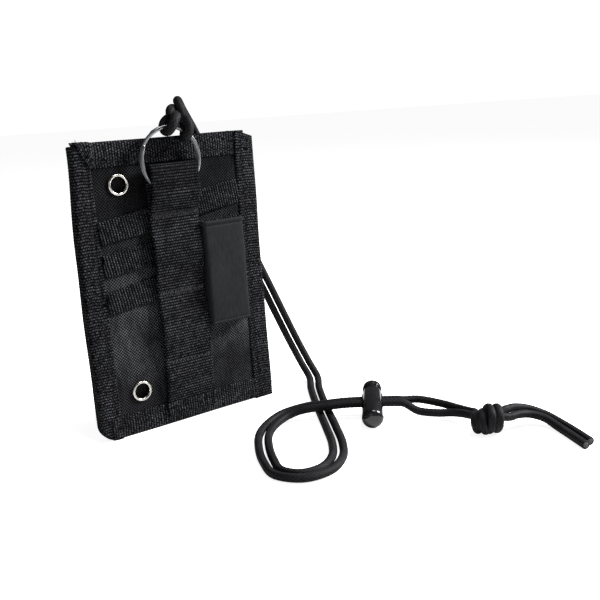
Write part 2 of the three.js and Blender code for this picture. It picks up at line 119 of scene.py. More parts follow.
KNOT_TURN_RADIUS = 1.95
HITCH_RADIUS = 2.1
NECK_FULLNESS = 0.3  # extra radius of the strands where they leave the ring
LOCK_CENTRE = (61.5, -66.0, 7.6)
LOCK_HEADING = math.radians(-41.0)
LOCK_TILT = math.radians(11.0)
LOCK = {"radius": 4.9, "bore": 4.25, "tip": -17.3, "dome": 3.0, "bore_end": -9.0, "rim": 6.0, "slot": 4.3}
SLOT_HALF_HEIGHT = 2.5
LOCK_BEVELS = (0.22, 0.15)  # the slot's edge on the barrel and on the stem
PLUNGER = {"radius": 3.95, "foot": -5.2, "travel": 3.0}
BUTTON = {"radius": 4.6, "foot": 9.3, "end": 14.0, "crown": 2.4}

# Middle of the cord pair (x, y, z), compass degrees from strand A to strand B, half their distance on the
# level and, where they differ, half their height apart.
CORD_ROUTE = [
    (5, -7.3, 143.9, 0, 2.9),
    (5.2, -6.6, 146.6, -8, 2.5, 0.6),
    (8, -1.5, 148.8, -30, 1.3, 1.7),
    (13, 4.5, 145.4, -22, 1.8, 0.9),
    (20, 8.5, 136, -15, 2.2),
    (30, 11, 116, -22, 2.15),
    (41, 12.8, 92.5, -28, 2.15),
    (51, 13.5, 71, -30, 2.15),
    (60, 13, 50.5, -30, 2.15),
    (66.5, 11.5, 34, -30, 2.15),
    (71.5, 8.5, 19.5, -30, 2.15),
    (74, 3.5, 9, -29, 2.15),
    (72.5, -5, 3.4, -28, 2.15),
    (64.5, -17, 1.95, -28, 2.15),
    (54, -34.5, 1.95, -29, 2.15),
    (44.5, -51.5, 1.95, -29, 2.15),
    (36, -67, 1.95, -30, 2.2),
    (27, -82.5, 1.95, -37, 2.25),
    (18.5, -93, 1.95, -52, 2.3),
    (8, -99, 1.95, -75, 2.3),
    (-2.5, -97.5, 1.95, -110, 2.3),
    (-8, -88.5, 1.95, -162, 2.25),
    (-4.5, -76, 1.95, -199, 2.25),
    (2.5, -62, 1.95, -207, 2.25),
    (10.5, -50.5, 1.95, -220, 2.2),
    (20.5, -42.5, 2.1, -240, 2.2),
    (29.5, -40, 3.2, -265, 2.15),
    (37.5, -44.2, 5.2, -296, 2.1),
    (45, -51.4, 6.6, -309, 2.1),
    (52.3, -58, 7.5, -311, 2.1),
    (61.5, -66, 7.6, -311, 2.1),
    (70, -73.4, 7.5, -311, 2.1),
    (72.6, -75.7, 7.1, -311, 2.35),
    (76.8, -80.2, 5.5, -314, 4, 1.3),
    (82, -88, 4.6, -328, 3.8, 1),
    (85.4, -96.4, 4.6, -340, 2.4, 0.3),
    (85.2, -102.4, 5.4, -344, 2.15),
    (84.1, -107.4, 6.4, -344, 2.15),
]
TAIL_ROUTE = [
    (91.2, -120.8, 8, 86, 1.75, 1.1),
    (97.4, -121, 7.6, 82, 1.75, 1.1),
    (104, -123, 6, 58, 1.95, 0.6),
    (107.8, -128.4, 4, 32, 2.15),
    (107.2, -136.5, 2.4, 20, 2.3),
    (103.8, -146.6, 1.95, 15, 2.35),
    (100, -155.6, 1.95, 14, 2.35),
]

# ---- Camera and light, in metres and degrees ----
CAMERA = {"lens": 49.75, "sensor": 36.0, "azimuth": -35.26, "elevation": 13.0, "roll": -4.03}
CAMERA_DISTANCE = 0.4374
CAMERA_TARGET = (0.0709, MID_PLANE_Y * MM, 0.045)
LIGHT_TARGET = (0.02, 0.0, 0.06)
# Name, place, side and power of each square softbox.
SOFTBOXES = (
    ("key", (0.8, -0.42, 0.62), 0.24, 30),
    ("top", (0.15, -0.3, 0.95), 0.35, 5),
    ("fill", (-0.9, -0.8, 0.4), 0.5, 0.8),
)
# How bright the backdrop and the floor's own glow are: for light rays, and as the camera sees them.
BACKDROP_GLOW = (0.10, 1.1)
FLOOR_GLOW = (0.03, 0.88)


# ---- Frames and meshes ----
def row_frame(points):
    """Millimetres in the making frame to metres in the row frame."""
    return (np.asarray(points, float) + (0.0, MID_PLANE_Y, 0.0)) * MM


def smoothstep(value, low, high):
    t = np.clip((np.asarray(value, float) - low) / (high - low), 0.0, 1.0)
    return t * t * (3 - 2 * t)


def distance_along(line):
    """Distance along a line from its first point to each of its points."""
    return np.concatenate([[0], np.cumsum(np.linalg.norm(np.diff(line, axis=0), axis=1))])


def soft_rectangle(count, half, squareness):
    """A rounded rectangle round the origin. The nearer to 0 a side's squareness, the flatter that side."""
    angles = [2 * math.pi * k / count for k in range(count)]
    section = []
    for angle in angles:
        sides = (math.cos(angle), math.sin(angle))
        section.append([h * np.sign(v) * abs(v) ** p for h, v, p in zip(half, sides, squareness)])
    return np.array(section)


def linked(name, data):
    """An object that holds the data, in the scene."""
    made = bpy.data.objects.new(name, data)
    bpy.context.scene.collection.objects.link(made)
    return made


def new_object(name, points, faces, material, lit_crest=None):
    """A mesh object from points in millimetres, with an optional value per point: the threads' crest height,
    which the material paints lighter as a painted highlight.
    """
    mesh = bpy.data.meshes.new(name)
    mesh.from_pydata(row_frame(points).tolist(), [], faces)
    tool = bmesh.new()
    tool.from_mesh(mesh)
    bmesh.ops.recalc_face_normals(tool, faces=tool.faces)
    tool.to_mesh(mesh)
    tool.free()
    mesh.polygons.foreach_set("use_smooth", [True] * len(mesh.polygons))
    mesh.materials.append(material)
    made = linked(name, mesh)
    if lit_crest is not None:
        add_attribute(made, "lit_crest", lit_crest)
    return made


def add_attribute(made, label, values):
    """A number per point, for the material."""
    layer = made.data.attributes.new(label, "FLOAT", "POINT")
    layer.data.foreach_set("value", np.asarray(values, np.float32).ravel())


def settle(piece, body, slot, *nodes):
    """Rides the piece on a body and hides the CAD nodes it stands for; slot is not used."""
    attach(piece, body)
    if nodes:
        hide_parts(*nodes)
    return piece


def tube_faces(rings, sides, offset=0):
    faces = []
    for i in range(rings - 1):
        for j in range(sides):
            k = (j + 1) % sides
            a = offset + i * sides
            faces.append((a + j, a + k, a + sides + k, a + sides + j))
    return faces


def capped_tube_faces(rings, sides, offset=0):
    """Faces of a tube with a flat face over each end."""
    last = offset + (rings - 1) * sides
    faces = tube_faces(rings, sides, offset)
    faces.append(tuple(offset + k for k in range(sides - 1, -1, -1)))
    faces.append(tuple(last + k for k in range(sides)))
    return faces


def pointed_tube_faces(rings, sides):
    """Faces of a tube that closes on two middle points, which come after the points of its rings."""
    count = rings * sides
    last = count - sides
    faces = tube_faces(rings, sides)
    faces += [(count, (j + 1) % sides, j) for j in range(sides)]
    faces += [(count + 1, last + j, last + (j + 1) % sides) for j in range(sides)]
    return faces


def looped_tube_faces(rings, sides):
    """Faces of a tube whose last ring joins its first."""
    last = (rings - 1) * sides
    faces = tube_faces(rings, sides)
    faces += [(last + j, last + (j + 1) % sides, (j + 1) % sides, j) for j in range(sides)]
    return faces


def strip_faces(rows, across):
    """Faces of a closed strip. Each row has `across` top points, then as many bottom ones, turned round."""
    loop = 2 * across
    faces = tube_faces(rows, loop)
    for row in (0, rows - 1):
        base = row * loop
        for j in range(across - 1):
            faces.append((base + j, base + j + 1, base + loop - 2 - j, base + loop - 1 - j))
    return faces


def rib_wave(s, w, width, sway, phase):
    """The ribs that run across a tape: which rib each point is on, and the height there from 0 to 1."""
    wobble = sway * RIB_PITCH * (np.sin(w * 0.9 + phase) + 0.7 * np.sin(s * 0.63 + w * 0.8))
    cycle = (s + wobble) / RIB_PITCH
    ridge = np.abs(np.cos(np.pi * cycle)) ** 0.75
    edge = smoothstep(width / 2 - np.abs(w), 0.0, 0.7)
    return cycle, ridge * (0.35 + 0.65 * edge)


def ribbed_strip(name, length, width, thick, place, material, depth=0.34, sway=0.03, ribs=None, seam=None):
    """A woven tape. place maps distance along, distance across and height above its middle to millimetres.
    sway is how far its ribs wander, in pitches; ribs(s) scales them along the tape; seam is a distance across
    where a line of stitching sinks it."""
    rows = int(length / (RIB_PITCH / 6)) + 1
    across = int(width / 0.55) + 1
    s = np.linspace(0, length, rows)[:, None]
    w = (np.linspace(-1, 1, across) * width / 2)[None, :]
    s, w = np.broadcast_arrays(s, w)
    rim = np.clip((width / 2 - np.abs(w)) / (thick * 0.55), 0, 1)
    half = thick / 2 * (0.45 + 0.55 * np.sqrt(1 - (1 - rim) ** 2))
    cycle, wave = rib_wave(s, w, width, sway, RNG.uniform(0, 6.28))
    strength = np.ones_like(s) if ribs is None else ribs(s)
    if seam is not None:
        pressed = np.exp(-(((w - seam) / 0.55) ** 2))
        half = half - 0.22 * pressed
        # A seam's press also lowers the strength value, which dims the ribs' painted highlight there: painted
        # shade along the seam.
        strength = strength * (1 - 0.45 * pressed)
    rib = depth * (wave - 0.55) * strength
    top = place(s, w, half + rib)
    bottom = place(s, w, -half - 0.5 * rib)
    points = np.concatenate([top, bottom[:, ::-1]], axis=1).reshape(-1, 3)
    made = new_object(name, points, strip_faces(rows, across), material)
    # The material paints the crests lighter from these values: painted highlight on the crests, painted shade
    # in the grooves.
    for label, values in (("rib", cycle), ("across", w), ("strength", strength)):
        add_attribute(made, label, np.concatenate([values, values[:, ::-1]], axis=1))
    return made


class Track:
    """A flat path in two coordinates, read by distance along it, with its normal."""

    def __init__(self, corners, radii, step=0.08):
        corners = np.array(corners, float)
        points = [corners[0]]
        for before, corner, after, radius in zip(corners, corners[1:], corners[2:], radii):
            points.extend(self.rounded(before, corner, after, radius))
        points.append(corners[-1])
        rough = np.array(points)
        gone = distance_along(rough)
        self.length = gone[-1]
        self.at = np.linspace(0, self.length, int(self.length / step) + 2)
        self.points = np.stack([np.interp(self.at, gone, rough[:, k]) for k in (0, 1)], axis=1)
        tangent = np.gradient(self.points, self.at, axis=0)
        tangent /= np.linalg.norm(tangent, axis=1)[:, None]
        self.normals = np.stack([-tangent[:, 1], tangent[:, 0]], axis=1)

    @staticmethod
    def rounded(before, corner, after, radius, steps=10):
        if radius <= 0:
            return [corner]
        into = (before - corner) / np.linalg.norm(before - corner)
        out = (after - corner) / np.linalg.norm(after - corner)
        angle = math.acos(float(np.clip(into @ out, -1, 1)))
        reach = radius / math.tan(angle / 2)
        centre = corner + (into + out) / np.linalg.norm(into + out) * radius / math.sin(angle / 2)
        first = corner + into * reach - centre
        last = corner + out * reach - centre
        sweep = math.pi - angle
        made = []
        for k in range(steps + 1):
            t = k / steps
            mix = math.sin((1 - t) * sweep) * first + math.sin(t * sweep) * last
            made.append(centre + mix / math.sin(sweep))
        return made

    def place(self, along, height):
        a = [np.interp(along, self.at, self.points[:, k]) for k in (0, 1)]
        n = [np.interp(along, self.at, self.normals[:, k]) for k in (0, 1)]
        return a[0] + n[0] * height, a[1] + n[1] * height


# ---- Materials ----
class Shader:
    """A node material, built a node at a time."""

    def __init__(self, name, colour, roughness, metallic=0.0, specular=0.5, **sockets):
        self.material = bpy.data.materials.new(name)
        self.material.use_nodes = True
        self.tree = self.material.node_tree
        self.surface = self.tree.nodes["Principled BSDF"]
        values = {"Base Color": (*colour, 1), "Roughness": roughness, "Metallic": metallic}
        values["Specular IOR Level"] = specular
        values.update(sockets)
        for socket, value in values.items():
            self.surface.inputs[socket].default_value = value
        self.coords = self.tree.nodes.new("ShaderNodeTexCoord").outputs["Object"]

    def node(self, kind, inputs=None, **settings):
        made = self.tree.nodes.new(kind)
        for key, value in settings.items():
            setattr(made, key, value)
        for key, value in (inputs or {}).items():
            if isinstance(value, bpy.types.NodeSocket):
                self.tree.links.new(value, made.inputs[key])
            else:
                made.inputs[key].default_value = value
        return made

    def math(self, operation, a, b=0.0):
        return self.node("ShaderNodeMath", {0: a, 1: b}, operation=operation).outputs[0]

    def product(self, *factors):
        result = factors[0]
        for factor in factors[1:]:
            result = self.math("MULTIPLY", result, factor)
        return result

    def noise(self, scale, detail=3.0, stretch=(1, 1, 1), rough=0.5):
        moved = self.node("ShaderNodeMapping", {"Vector": self.coords, "Scale": stretch}).outputs[0]
        inputs = {"Vector": moved, "Scale": scale, "Detail": detail, "Roughness": rough}
        return self.node("ShaderNodeTexNoise", inputs).outputs["Fac"]

    def span(self, value, low, high, to_low, to_high):
        inputs = {"Value": value, "From Min": low, "From Max": high, "To Min": to_low, "To Max": to_high}
        return self.node("ShaderNodeMapRange", inputs).outputs["Result"]

    def mix(self, factor, a, b):
        colour = [v if isinstance(v, bpy.types.NodeSocket) else (*v, 1) for v in (a, b)]
        inputs = {0: factor, 6: colour[0], 7: colour[1]}
        return self.node("ShaderNodeMix", inputs, data_type="RGBA", clamp_factor=False).outputs[2]

    def attribute(self, name):
        return self.node("ShaderNodeAttribute", attribute_name=name).outputs["Fac"]

    def vary(self, noise, low, high):
        """A noise's usual range spread between two values."""
        return self.span(noise, 0.3, 0.7, low, high)

    def set(self, socket, value):
        self.tree.links.new(value, self.surface.inputs[socket])

    def bump(self, height, strength, distance):
        inputs = {"Height": height, "Strength": strength, "Distance": distance}
        self.set("Normal", self.node("ShaderNodeBump", inputs).outputs["Normal"])


def ribbed_material(name, shaded_groove, lit_crest, grain=0.5, roughness=0.8, specular=0.02):
    """Woven webbing: painted shade between its ribs and a painted highlight on their crests, which are broken
    into short yarn floats. grain is how uneven the floats are, from 0 to 1."""
    shader = Shader(name, lit_crest, roughness, specular=specular)
    rib = shader.attribute("rib")
    along_rib = shader.product(shader.attribute("across"), 2 * math.pi / FLOAT_PITCH)
    ridge = shader.math("ABSOLUTE", shader.math("COSINE", shader.product(rib, math.pi)))
    odd = shader.math("MODULO", shader.math("ROUND", rib), 2.0)
    turn = shader.math("ADD", along_rib, shader.product(odd, math.pi))
    dash = shader.span(shader.math("COSINE", turn), -0.9, 0.5, 0.22, 1.0)
    uneven = shader.span(shader.noise(900, 3, rough=0.6), 0.38, 0.62, 1.0 - grain, 1.0 + grain)
    worn = shader.span(shader.noise(130, 3), 0.35, 0.65, 0.65, 1.35)
    yarn = shader.span(shader.noise(4200, 2), 0.3, 0.7, 0.6, 1.3)
    height = shader.product(shader.math("POWER", ridge, 1.6), shader.attribute("strength"))
    lift = shader.product(shader.math("POWER", height, 1.4), dash, uneven, worn, yarn)
    # Painted light: the first colour is painted shade in the grooves, the second a painted highlight on the
    # crests, mixed by the ribs' height.
    shader.set("Base Color", shader.mix(lift, shaded_groove, lit_crest))
    shader.bump(shader.math("ADD", lift, shader.product(yarn, 0.2)), 0.6, 0.0002)
    return shader.material


def weave_heights(shader, pitch):
    """A basket weave on the bias of X and Z: yarns over and under each other, one pitch apart."""
    axes = shader.node("ShaderNodeSeparateXYZ", {0: shader.coords}).outputs
    turn = math.pi / pitch * math.sqrt(0.5)
    warp = shader.math("SINE", shader.product(shader.math("ADD", axes["X"], axes["Z"]), turn))
    weft = shader.math("SINE", shader.product(shader.math("SUBTRACT", axes["X"], axes["Z"]), turn))
    up = shader.span(shader.product(warp, weft), -0.25, 0.25, 0.0, 1.0)
    first = shader.product(up, shader.math("ABSOLUTE", warp))
    second = shader.product(shader.math("SUBTRACT", 1.0, up), shader.math("ABSOLUTE", weft))
    return shader.math("ADD", first, second)


def oxford_material(name, dark, light, pitch, roughness=0.75, specular=0.03):
    """Coated oxford cloth: a bias basket weave with painted highlight and shade, paler towards the pouch's
    bottom.
    """
    shader = Shader(name, light, roughness, specular=specular)
    weave = weave_heights(shader, pitch)
    slub = shader.noise(900, 2, stretch=(1, 1, 0.25))
    patchy = shader.noise(60, 3)
    level = shader.node("ShaderNodeSeparateXYZ", {0: shader.coords}).outputs["Z"]
    # Painted light: the weave's crests get a painted highlight and its hollows painted shade. The height
    # spans make it paler from about 105 mm down to 70 mm, and darker again below about 36 mm.
    lift = shader.product(
        shader.math("POWER", weave, 5.0),
        shader.vary(slub, 0.6, 1.25),
        shader.span(level, 0.070, 0.105, 1.5, 0.3),
        shader.span(level, 0.022, 0.036, 0.45, 1.0),
        shader.span(patchy, 0.35, 0.65, 0.6, 1.3),
    )
    shader.set("Base Color", shader.mix(lift, dark, light))
    shader.set("Roughness", shader.span(weave, 0, 1, roughness + 0.15, roughness - 0.08))
    shader.bump(weave, 0.8, 0.0003)
    return shader.material


def elastic_material():
    """Fine-ribbed elastic tape, smoother and a little lighter than the webbing."""
    shader = Shader("elastic_black", (0.02, 0.021, 0.023), 0.8, specular=0.04)
    fine = shader.noise(2400, 2, stretch=(1, 1, 0.12))
    cloudy = shader.noise(90, 3)
    tone = shader.product(shader.vary(fine, 0.5, 1.0), shader.vary(cloudy, 0.8, 1.1))
    shader.set("Base Color", shader.mix(tone, (0.003, 0.003, 0.0035), (0.016, 0.0165, 0.018)))
    shader.set("Roughness", shader.vary(cloudy, 0.62, 0.8))
    shader.bump(fine, 0.35, 0.0002)
    return shader.material


def cord_material():
    """Braided nylon cord: the braid's crossings catch the light."""
    shader = Shader("cord_black", (0.012, 0.012, 0.014), 0.6, specular=0.06)
    fibre = shader.noise(2800, 2)
    worn = shader.noise(180, 2)
    lift = shader.product(
        shader.math("POWER", shader.attribute("lit_crest"), 2.5),
        shader.vary(fibre, 0.5, 1.3),
        shader.vary(worn, 0.75, 1.15),
    )
    # Painted light: the braid's crests get a painted highlight and the hollows between them painted shade.
    shader.set("Base Color", shader.mix(lift, (0.0006, 0.0006, 0.0008), (0.020, 0.020, 0.022)))
    shader.set("Roughness", shader.vary(fibre, 0.5, 0.7))
    shader.bump(fibre, 0.3, 0.00012)
    return shader.material


def grained_material(name, dark, light, scale, detail, roughness, specular, bump, depth):
    """A finish that wavers between two colours, with the same grain in its relief."""
    shader = Shader(name, light, roughness, specular=specular)
    grain = shader.noise(scale, detail)
    shader.set("Base Color", shader.mix(grain, dark, light))
    shader.bump(grain, bump, depth)
    return shader.material


def fibre_core_material():
    """The cut end of the cord: pale grey fibres."""
    return grained_material(
        "cord_core", (0.015, 0.015, 0.015), (0.12, 0.12, 0.125), 4200, 2, 0.85, 0.1, 0.6, 0.0003
    )


def thread_material(name, dark, light):
    """Bonded sewing thread, its two plies catching the light."""
    return grained_material(name, dark, light, 6000, 1, 0.6, 0.08, 0.3, 0.0001)


def metal_material(name, colour, roughness, dull):
    """Plated metal with faint scratches and dull patches."""
    shader = Shader(name, colour, roughness, metallic=1.0)
    scratch = shader.noise(1400, 2, stretch=(1, 6, 1))
    cloud = shader.noise(220, 3)
    shader.set("Roughness", shader.vary(cloud, roughness * 0.7, roughness * 1.4))
    shader.set("Base Color", shader.mix(shader.span(cloud, 0.35, 0.75, 0.0, 1.0), colour, dull))
    shader.bump(scratch, 0.12, 0.00008)
    return shader.material


def plastic_material():
    """Glossy moulded black plastic with slight ripples and handling marks."""
    shader = Shader("gloss_plastic_black", (0.005, 0.005, 0.006), 0.16, specular=0.45)
    smear = shader.noise(300, 4)
    ripple = shader.noise(140, 2)
    shader.set("Base Color", shader.mix(smear, (0.003, 0.003, 0.004), (0.008, 0.008, 0.009)))
    shader.set("Roughness", shader.span(smear, 0.3, 0.75, 0.10, 0.26))
    shader.bump(ripple, 0.05, 0.0005)
    return shader.material


def board_material():
    """Smooth grey board."""
    return grained_material(
        "board_grey", (0.015, 0.015, 0.016), (0.04, 0.04, 0.041), 700, 3, 0.8, 0.2, 0.3, 0.0003
    )


def vinyl_material():
    """Clear soft vinyl with a slight haze."""
    shader = Shader("vinyl_clear", (0.93, 0.95, 0.95), 0.12, specular=0.5)
    shader.surface.inputs["Transmission Weight"].default_value = 1.0
    shader.surface.inputs["IOR"].default_value = 1.45
    haze = shader.noise(70, 4)
    shader.set("Roughness", shader.span(haze, 0.3, 0.75, 0.06, 0.22))
    shader.bump(haze, 0.15, 0.0006)
    return shader.material


def pile_material():
    """The loop half of a hook-and-loop fastener: a dense fuzz."""
    shader = Shader("loop_pile_black", (0.03, 0.03, 0.032), 0.9, specular=0.15)
    fuzz = shader.noise(1700, 4, rough=0.7)
    mat = shader.noise(120, 3)
    tone = shader.product(fuzz, shader.vary(mat, 0.7, 1.2))
    shader.set("Base Color", shader.mix(tone, (0.006, 0.006, 0.007), (0.055, 0.055, 0.06)))
    shader.bump(fuzz, 1.0, 0.0008)
    return shader.material


def floor_material():
    """A white studio floor with a soft glow of its own, so that it meets the backdrop without an edge."""
    shader = Shader("floor_white", (0.8, 0.8, 0.8), 0.9, specular=0.05)
    tone = shader.noise(1.5, 2)
    shader.set("Base Color", shader.mix(tone, (0.78, 0.78, 0.78), (0.82, 0.82, 0.82)))
    shader.surface.inputs["Emission Color"].default_value = (1, 1, 1, 1)
    seen = shader.node("ShaderNodeLightPath").outputs["Is Camera Ray"]
    shader.set("Emission Strength", shader.span(seen, 0.0, 1.0, *FLOOR_GLOW))
    return shader.material


LOOK = {
    # For the tape, webbing, oxford and lining, the first colour is painted shade in the hollows, the second a
    # painted highlight on the crests.
    "tape": ribbed_material("binding_tape_black", (0.0005, 0.0005, 0.0006), (0.036, 0.037, 0.041), grain=1.0),
    "webbing": ribbed_material("webbing_black", (0.0003, 0.0003, 0.0004), (0.034, 0.035, 0.038), grain=0.7),
    "oxford": oxford_material("oxford_black", (0.0006, 0.0006, 0.0008), (0.052, 0.053, 0.058), 0.00105),
    "lining": oxford_material(
        "lining_black", (0.003, 0.003, 0.003), (0.016, 0.016, 0.018), 0.0005, specular=0.2
    ),
    "elastic": elastic_material(),
    "cord": cord_material(),
    "core": fibre_core_material(),
    "thread": thread_material("thread_black", (0.003, 0.003, 0.004), (0.020, 0.020, 0.023)),
    "tack": thread_material("tack_thread_black", (0.006, 0.006, 0.007), (0.075, 0.076, 0.085)),
    "nickel": metal_material("nickel_bright", (0.62, 0.60, 0.57), 0.2, (0.42, 0.40, 0.36)),
    "steel": metal_material("ring_steel_grey", (0.20, 0.205, 0.215), 0.3, (0.13, 0.135, 0.14)),
    "spring": metal_material("spring_steel_grey", (0.5, 0.5, 0.5), 0.3, (0.35, 0.35, 0.35)),
    "plastic": plastic_material(),
    "board": board_material(),
    "vinyl": vinyl_material(),
    "pile": pile_material(),
}


# ---- Camera, floor and light ----
def camera_axes(azimuth, elevation, roll):
    a, e, r = (math.radians(v) for v in (azimuth, elevation, roll))
    back = Vector((math.sin(a) * math.cos(e), -math.cos(a) * math.cos(e), math.sin(e)))
    level = Vector((math.cos(a), math.sin(a), 0))
    up = back.cross(level)
    return level * math.cos(r) + up * math.sin(r), up * math.cos(r) - level * math.sin(r), back


def add_camera():
    data = bpy.data.cameras.new("camera")
    data.lens = CAMERA["lens"]
    data.sensor_width = CAMERA["sensor"]
    data.clip_start = 0.01
    data.clip_end = 50.0
    made = linked("camera", data)
    right, up, back = camera_axes(CAMERA["azimuth"], CAMERA["elevation"], CAMERA["roll"])
    place = Vector(CAMERA_TARGET) + back * CAMERA_DISTANCE
    made.matrix_world = Matrix.Translation(place) @ Matrix((right, up, back)).transposed().to_4x4()
    bpy.context.scene.camera = made


def add_floor():
    rings = [0.0, 0.3, 0.8, 2.0, 6.0, 20.0]
    sides = 48
    points = [(0, 0, 0)]
    for radius in rings[1:]:
        for j in range(sides):
            angle = 2 * math.pi * j / sides
            points.append((radius * math.cos(angle), radius * math.sin(angle), 0))
    faces = [(0, 1 + j, 1 + (j + 1) % sides) for j in range(sides)]
    for i in range(len(rings) - 2):
        base = 1 + i * sides
        for j in range(sides):
            k = (j + 1) % sides
            faces.append((base + j, base + sides + j, base + sides + k, base + k))
    mesh = bpy.data.meshes.new("floor")
    mesh.from_pydata(points, [], faces)
    mesh.materials.append(floor_material())
    linked("floor", mesh)


def add_softbox(name, place, side, power):
    data = bpy.data.lights.new(name, "AREA")
    data.shape = "SQUARE"
    data.size = side
    data.energy = power
    light = linked(name, data)
    light.location = place
    light.rotation_mode = "QUATERNION"
    light.rotation_quaternion = (Vector(LIGHT_TARGET) - Vector(place)).to_track_quat("-Z", "Y")


def add_studio():
    add_floor()
    world = bpy.data.worlds.new("studio")
    world.use_nodes = True
    tree = world.node_tree
    background = tree.nodes["Background"]
    background.inputs["Color"].default_value = (1, 1, 1, 1)
    seen = tree.nodes.new("ShaderNodeLightPath").outputs["Is Camera Ray"]
    strength = tree.nodes.new("ShaderNodeMapRange")
    strength.inputs["To Min"].default_value = BACKDROP_GLOW[0]
    strength.inputs["To Max"].default_value = BACKDROP_GLOW[1]
    tree.links.new(seen, strength.inputs["Value"])
    tree.links.new(strength.outputs["Result"], background.inputs["Strength"])
    bpy.context.scene.world = world
    for softbox in SOFTBOXES:
        add_softbox(*softbox)
    bpy.context.scene.view_settings.view_transform = "Standard"


# ---- Tubes ----
def catmull_rom(points, closed=False, spacing=0.45):
    """A centripetal Catmull-Rom curve through the points, resampled at an even spacing."""
    p = np.asarray(points, float)
    if closed:
        p = np.vstack([p[-1], p, p[0], p[1]])
    else:
        p = np.vstack([2 * p[0] - p[1], p, 2 * p[-1] - p[-2]])
    made = []
    for a, b, c, d in zip(p, p[1:], p[2:], p[3:]):
        t0 = 0.0
        t1 = t0 + max(np.linalg.norm(b - a) ** 0.5, 1e-6)
        t2 = t1 + max(np.linalg.norm(c - b) ** 0.5, 1e-6)
        t3 = t2 + max(np.linalg.norm(d - c) ** 0.5, 1e-6)
        t = np.linspace(t1, t2, 24, endpoint=False)[:, None]
        a1 = (t1 - t) / (t1 - t0) * a + (t - t0) / (t1 - t0) * b
        a2 = (t2 - t) / (t2 - t1) * b + (t - t1) / (t2 - t1) * c
        a3 = (t3 - t) / (t3 - t2) * c + (t - t2) / (t3 - t2) * d
        b1 = (t2 - t) / (t2 - t0) * a1 + (t - t0) / (t2 - t0) * a2
        b2 = (t3 - t) / (t3 - t1) * a2 + (t - t1) / (t3 - t1) * a3
        made.append((t2 - t) / (t2 - t1) * b1 + (t - t1) / (t2 - t1) * b2)
    line = np.vstack([*made, p[-2][None] if not closed else p[1][None]])
    gone = distance_along(line)
    at = np.linspace(0, gone[-1], max(3, int(gone[-1] / spacing) + 1))
    return np.stack([np.interp(at, gone, line[:, k]) for k in range(3)], axis=1)


def tube_frames(line):
    """Two turning-free normals along a line."""
    tangent = np.gradient(line, axis=0)
    tangent /= np.linalg.norm(tangent, axis=1)[:, None]
    side = np.cross(tangent[0], (0.31, 0.17, 0.93))
    side /= np.linalg.norm(side)
    sides = [side]
    for k in range(1, len(line)):
        side = side - tangent[k] * (side @ tangent[k])
        side = side / np.linalg.norm(side)
        sides.append(side)
    sides = np.array(sides)
    return sides, np.cross(tangent, sides)


def braid(angle, along, carriers=8, lay=7.5):
    """Height from 0 to 1 of the strands of a round braid."""
    turn = 2 * math.pi * along / lay
    left = np.abs(np.sin(carriers / 2 * angle + turn * carriers / 4))
    right = np.abs(np.sin(carriers / 2 * angle - turn * carriers / 4))
    return np.maximum(left, right) ** 1.5


def braided_tube(name, line, radius, material, sides=22):
    """A braided cord along a line, closed by a fan over each end."""
    first, second = tube_frames(line)
    gone = distance_along(line)
    angle = 2 * math.pi * np.arange(sides) / sides
    a, s = np.meshgrid(angle, gone)
    wave = braid(a, s)
    size = radius * (0.94 + 0.09 * wave)
    ring = np.cos(a)[..., None] * first[:, None] + np.sin(a)[..., None] * second[:, None]
    points = (line[:, None] + ring * size[..., None]).reshape(-1, 3)
    points = np.vstack([points, line[0], line[-1]])
    # The braid's height, kept per point for the material to paint as a painted highlight on the crests and
    # painted shade between.
    lit_crest = np.concatenate([(0.15 + 0.85 * wave).ravel(), [0, 0]])
    return new_object(name, points, pointed_tube_faces(len(line), sides), material, lit_crest)


def joined(name, pieces):
    """One object from several that share a material."""
    mesh = bpy.data.meshes.new(name)
    tool = bmesh.new()
    for piece in pieces:
        tool.from_mesh(piece.data)
    tool.to_mesh(mesh)
    tool.free()
    mesh.materials.append(pieces[0].data.materials[0])
    for piece in pieces:
        bpy.data.objects.remove(piece)
    return linked(name, mesh)


# ---- Neck cord ----
def strand_points(route, side):
    points = []
    for x, y, z, compass, half, *rise in route:
        angle = math.radians(compass)
        offset = (half * math.cos(angle), half * math.sin(angle), sum(rise))
        points.append(tuple(v + side * d for v, d in zip((x, y, z), offset)))
    return points


def hitch_points():
    """A cow hitch round the ring, from the end of strand A to the end of strand B: each strand goes down in
    front of the ring, under it and up behind it, and a bar joins the two behind the strands."""
    top = math.radians(20.5)
    radial = np.array([math.sin(top), 0, math.cos(top)])
    tangent = np.array([math.cos(top), 0, -math.sin(top)])
    front = np.array([0, -1.0, 0])
    centre = np.array([0, RING["y"], RING["z"]]) + RING["radius"] * radial
    half_path = [
        (2.7, 1.5, 4.7),
        (3.7, 3.2, 2.3),
        (4.3, 3.2, -0.6),
        (4.6, 1.2, -2.9),
        (5.1, -1.5, -2.8),
        (5.5, -3.3, -0.4),
        (4.8, -3.0, 2.1),
        (2.8, -2.9, 3.9),
    ]
    points = [centre - tangent * t + front * f + radial * r for t, f, r in half_path]
    points.append(centre - front * 2.7 + radial * 4.4)
    points += [centre + tangent * t + front * f + radial * r for t, f, r in reversed(half_path)]
    start = np.array(strand_points(CORD_ROUTE, -1)[0])
    end = np.array(strand_points(CORD_ROUTE, 1)[0])
    return [start, *points, end]


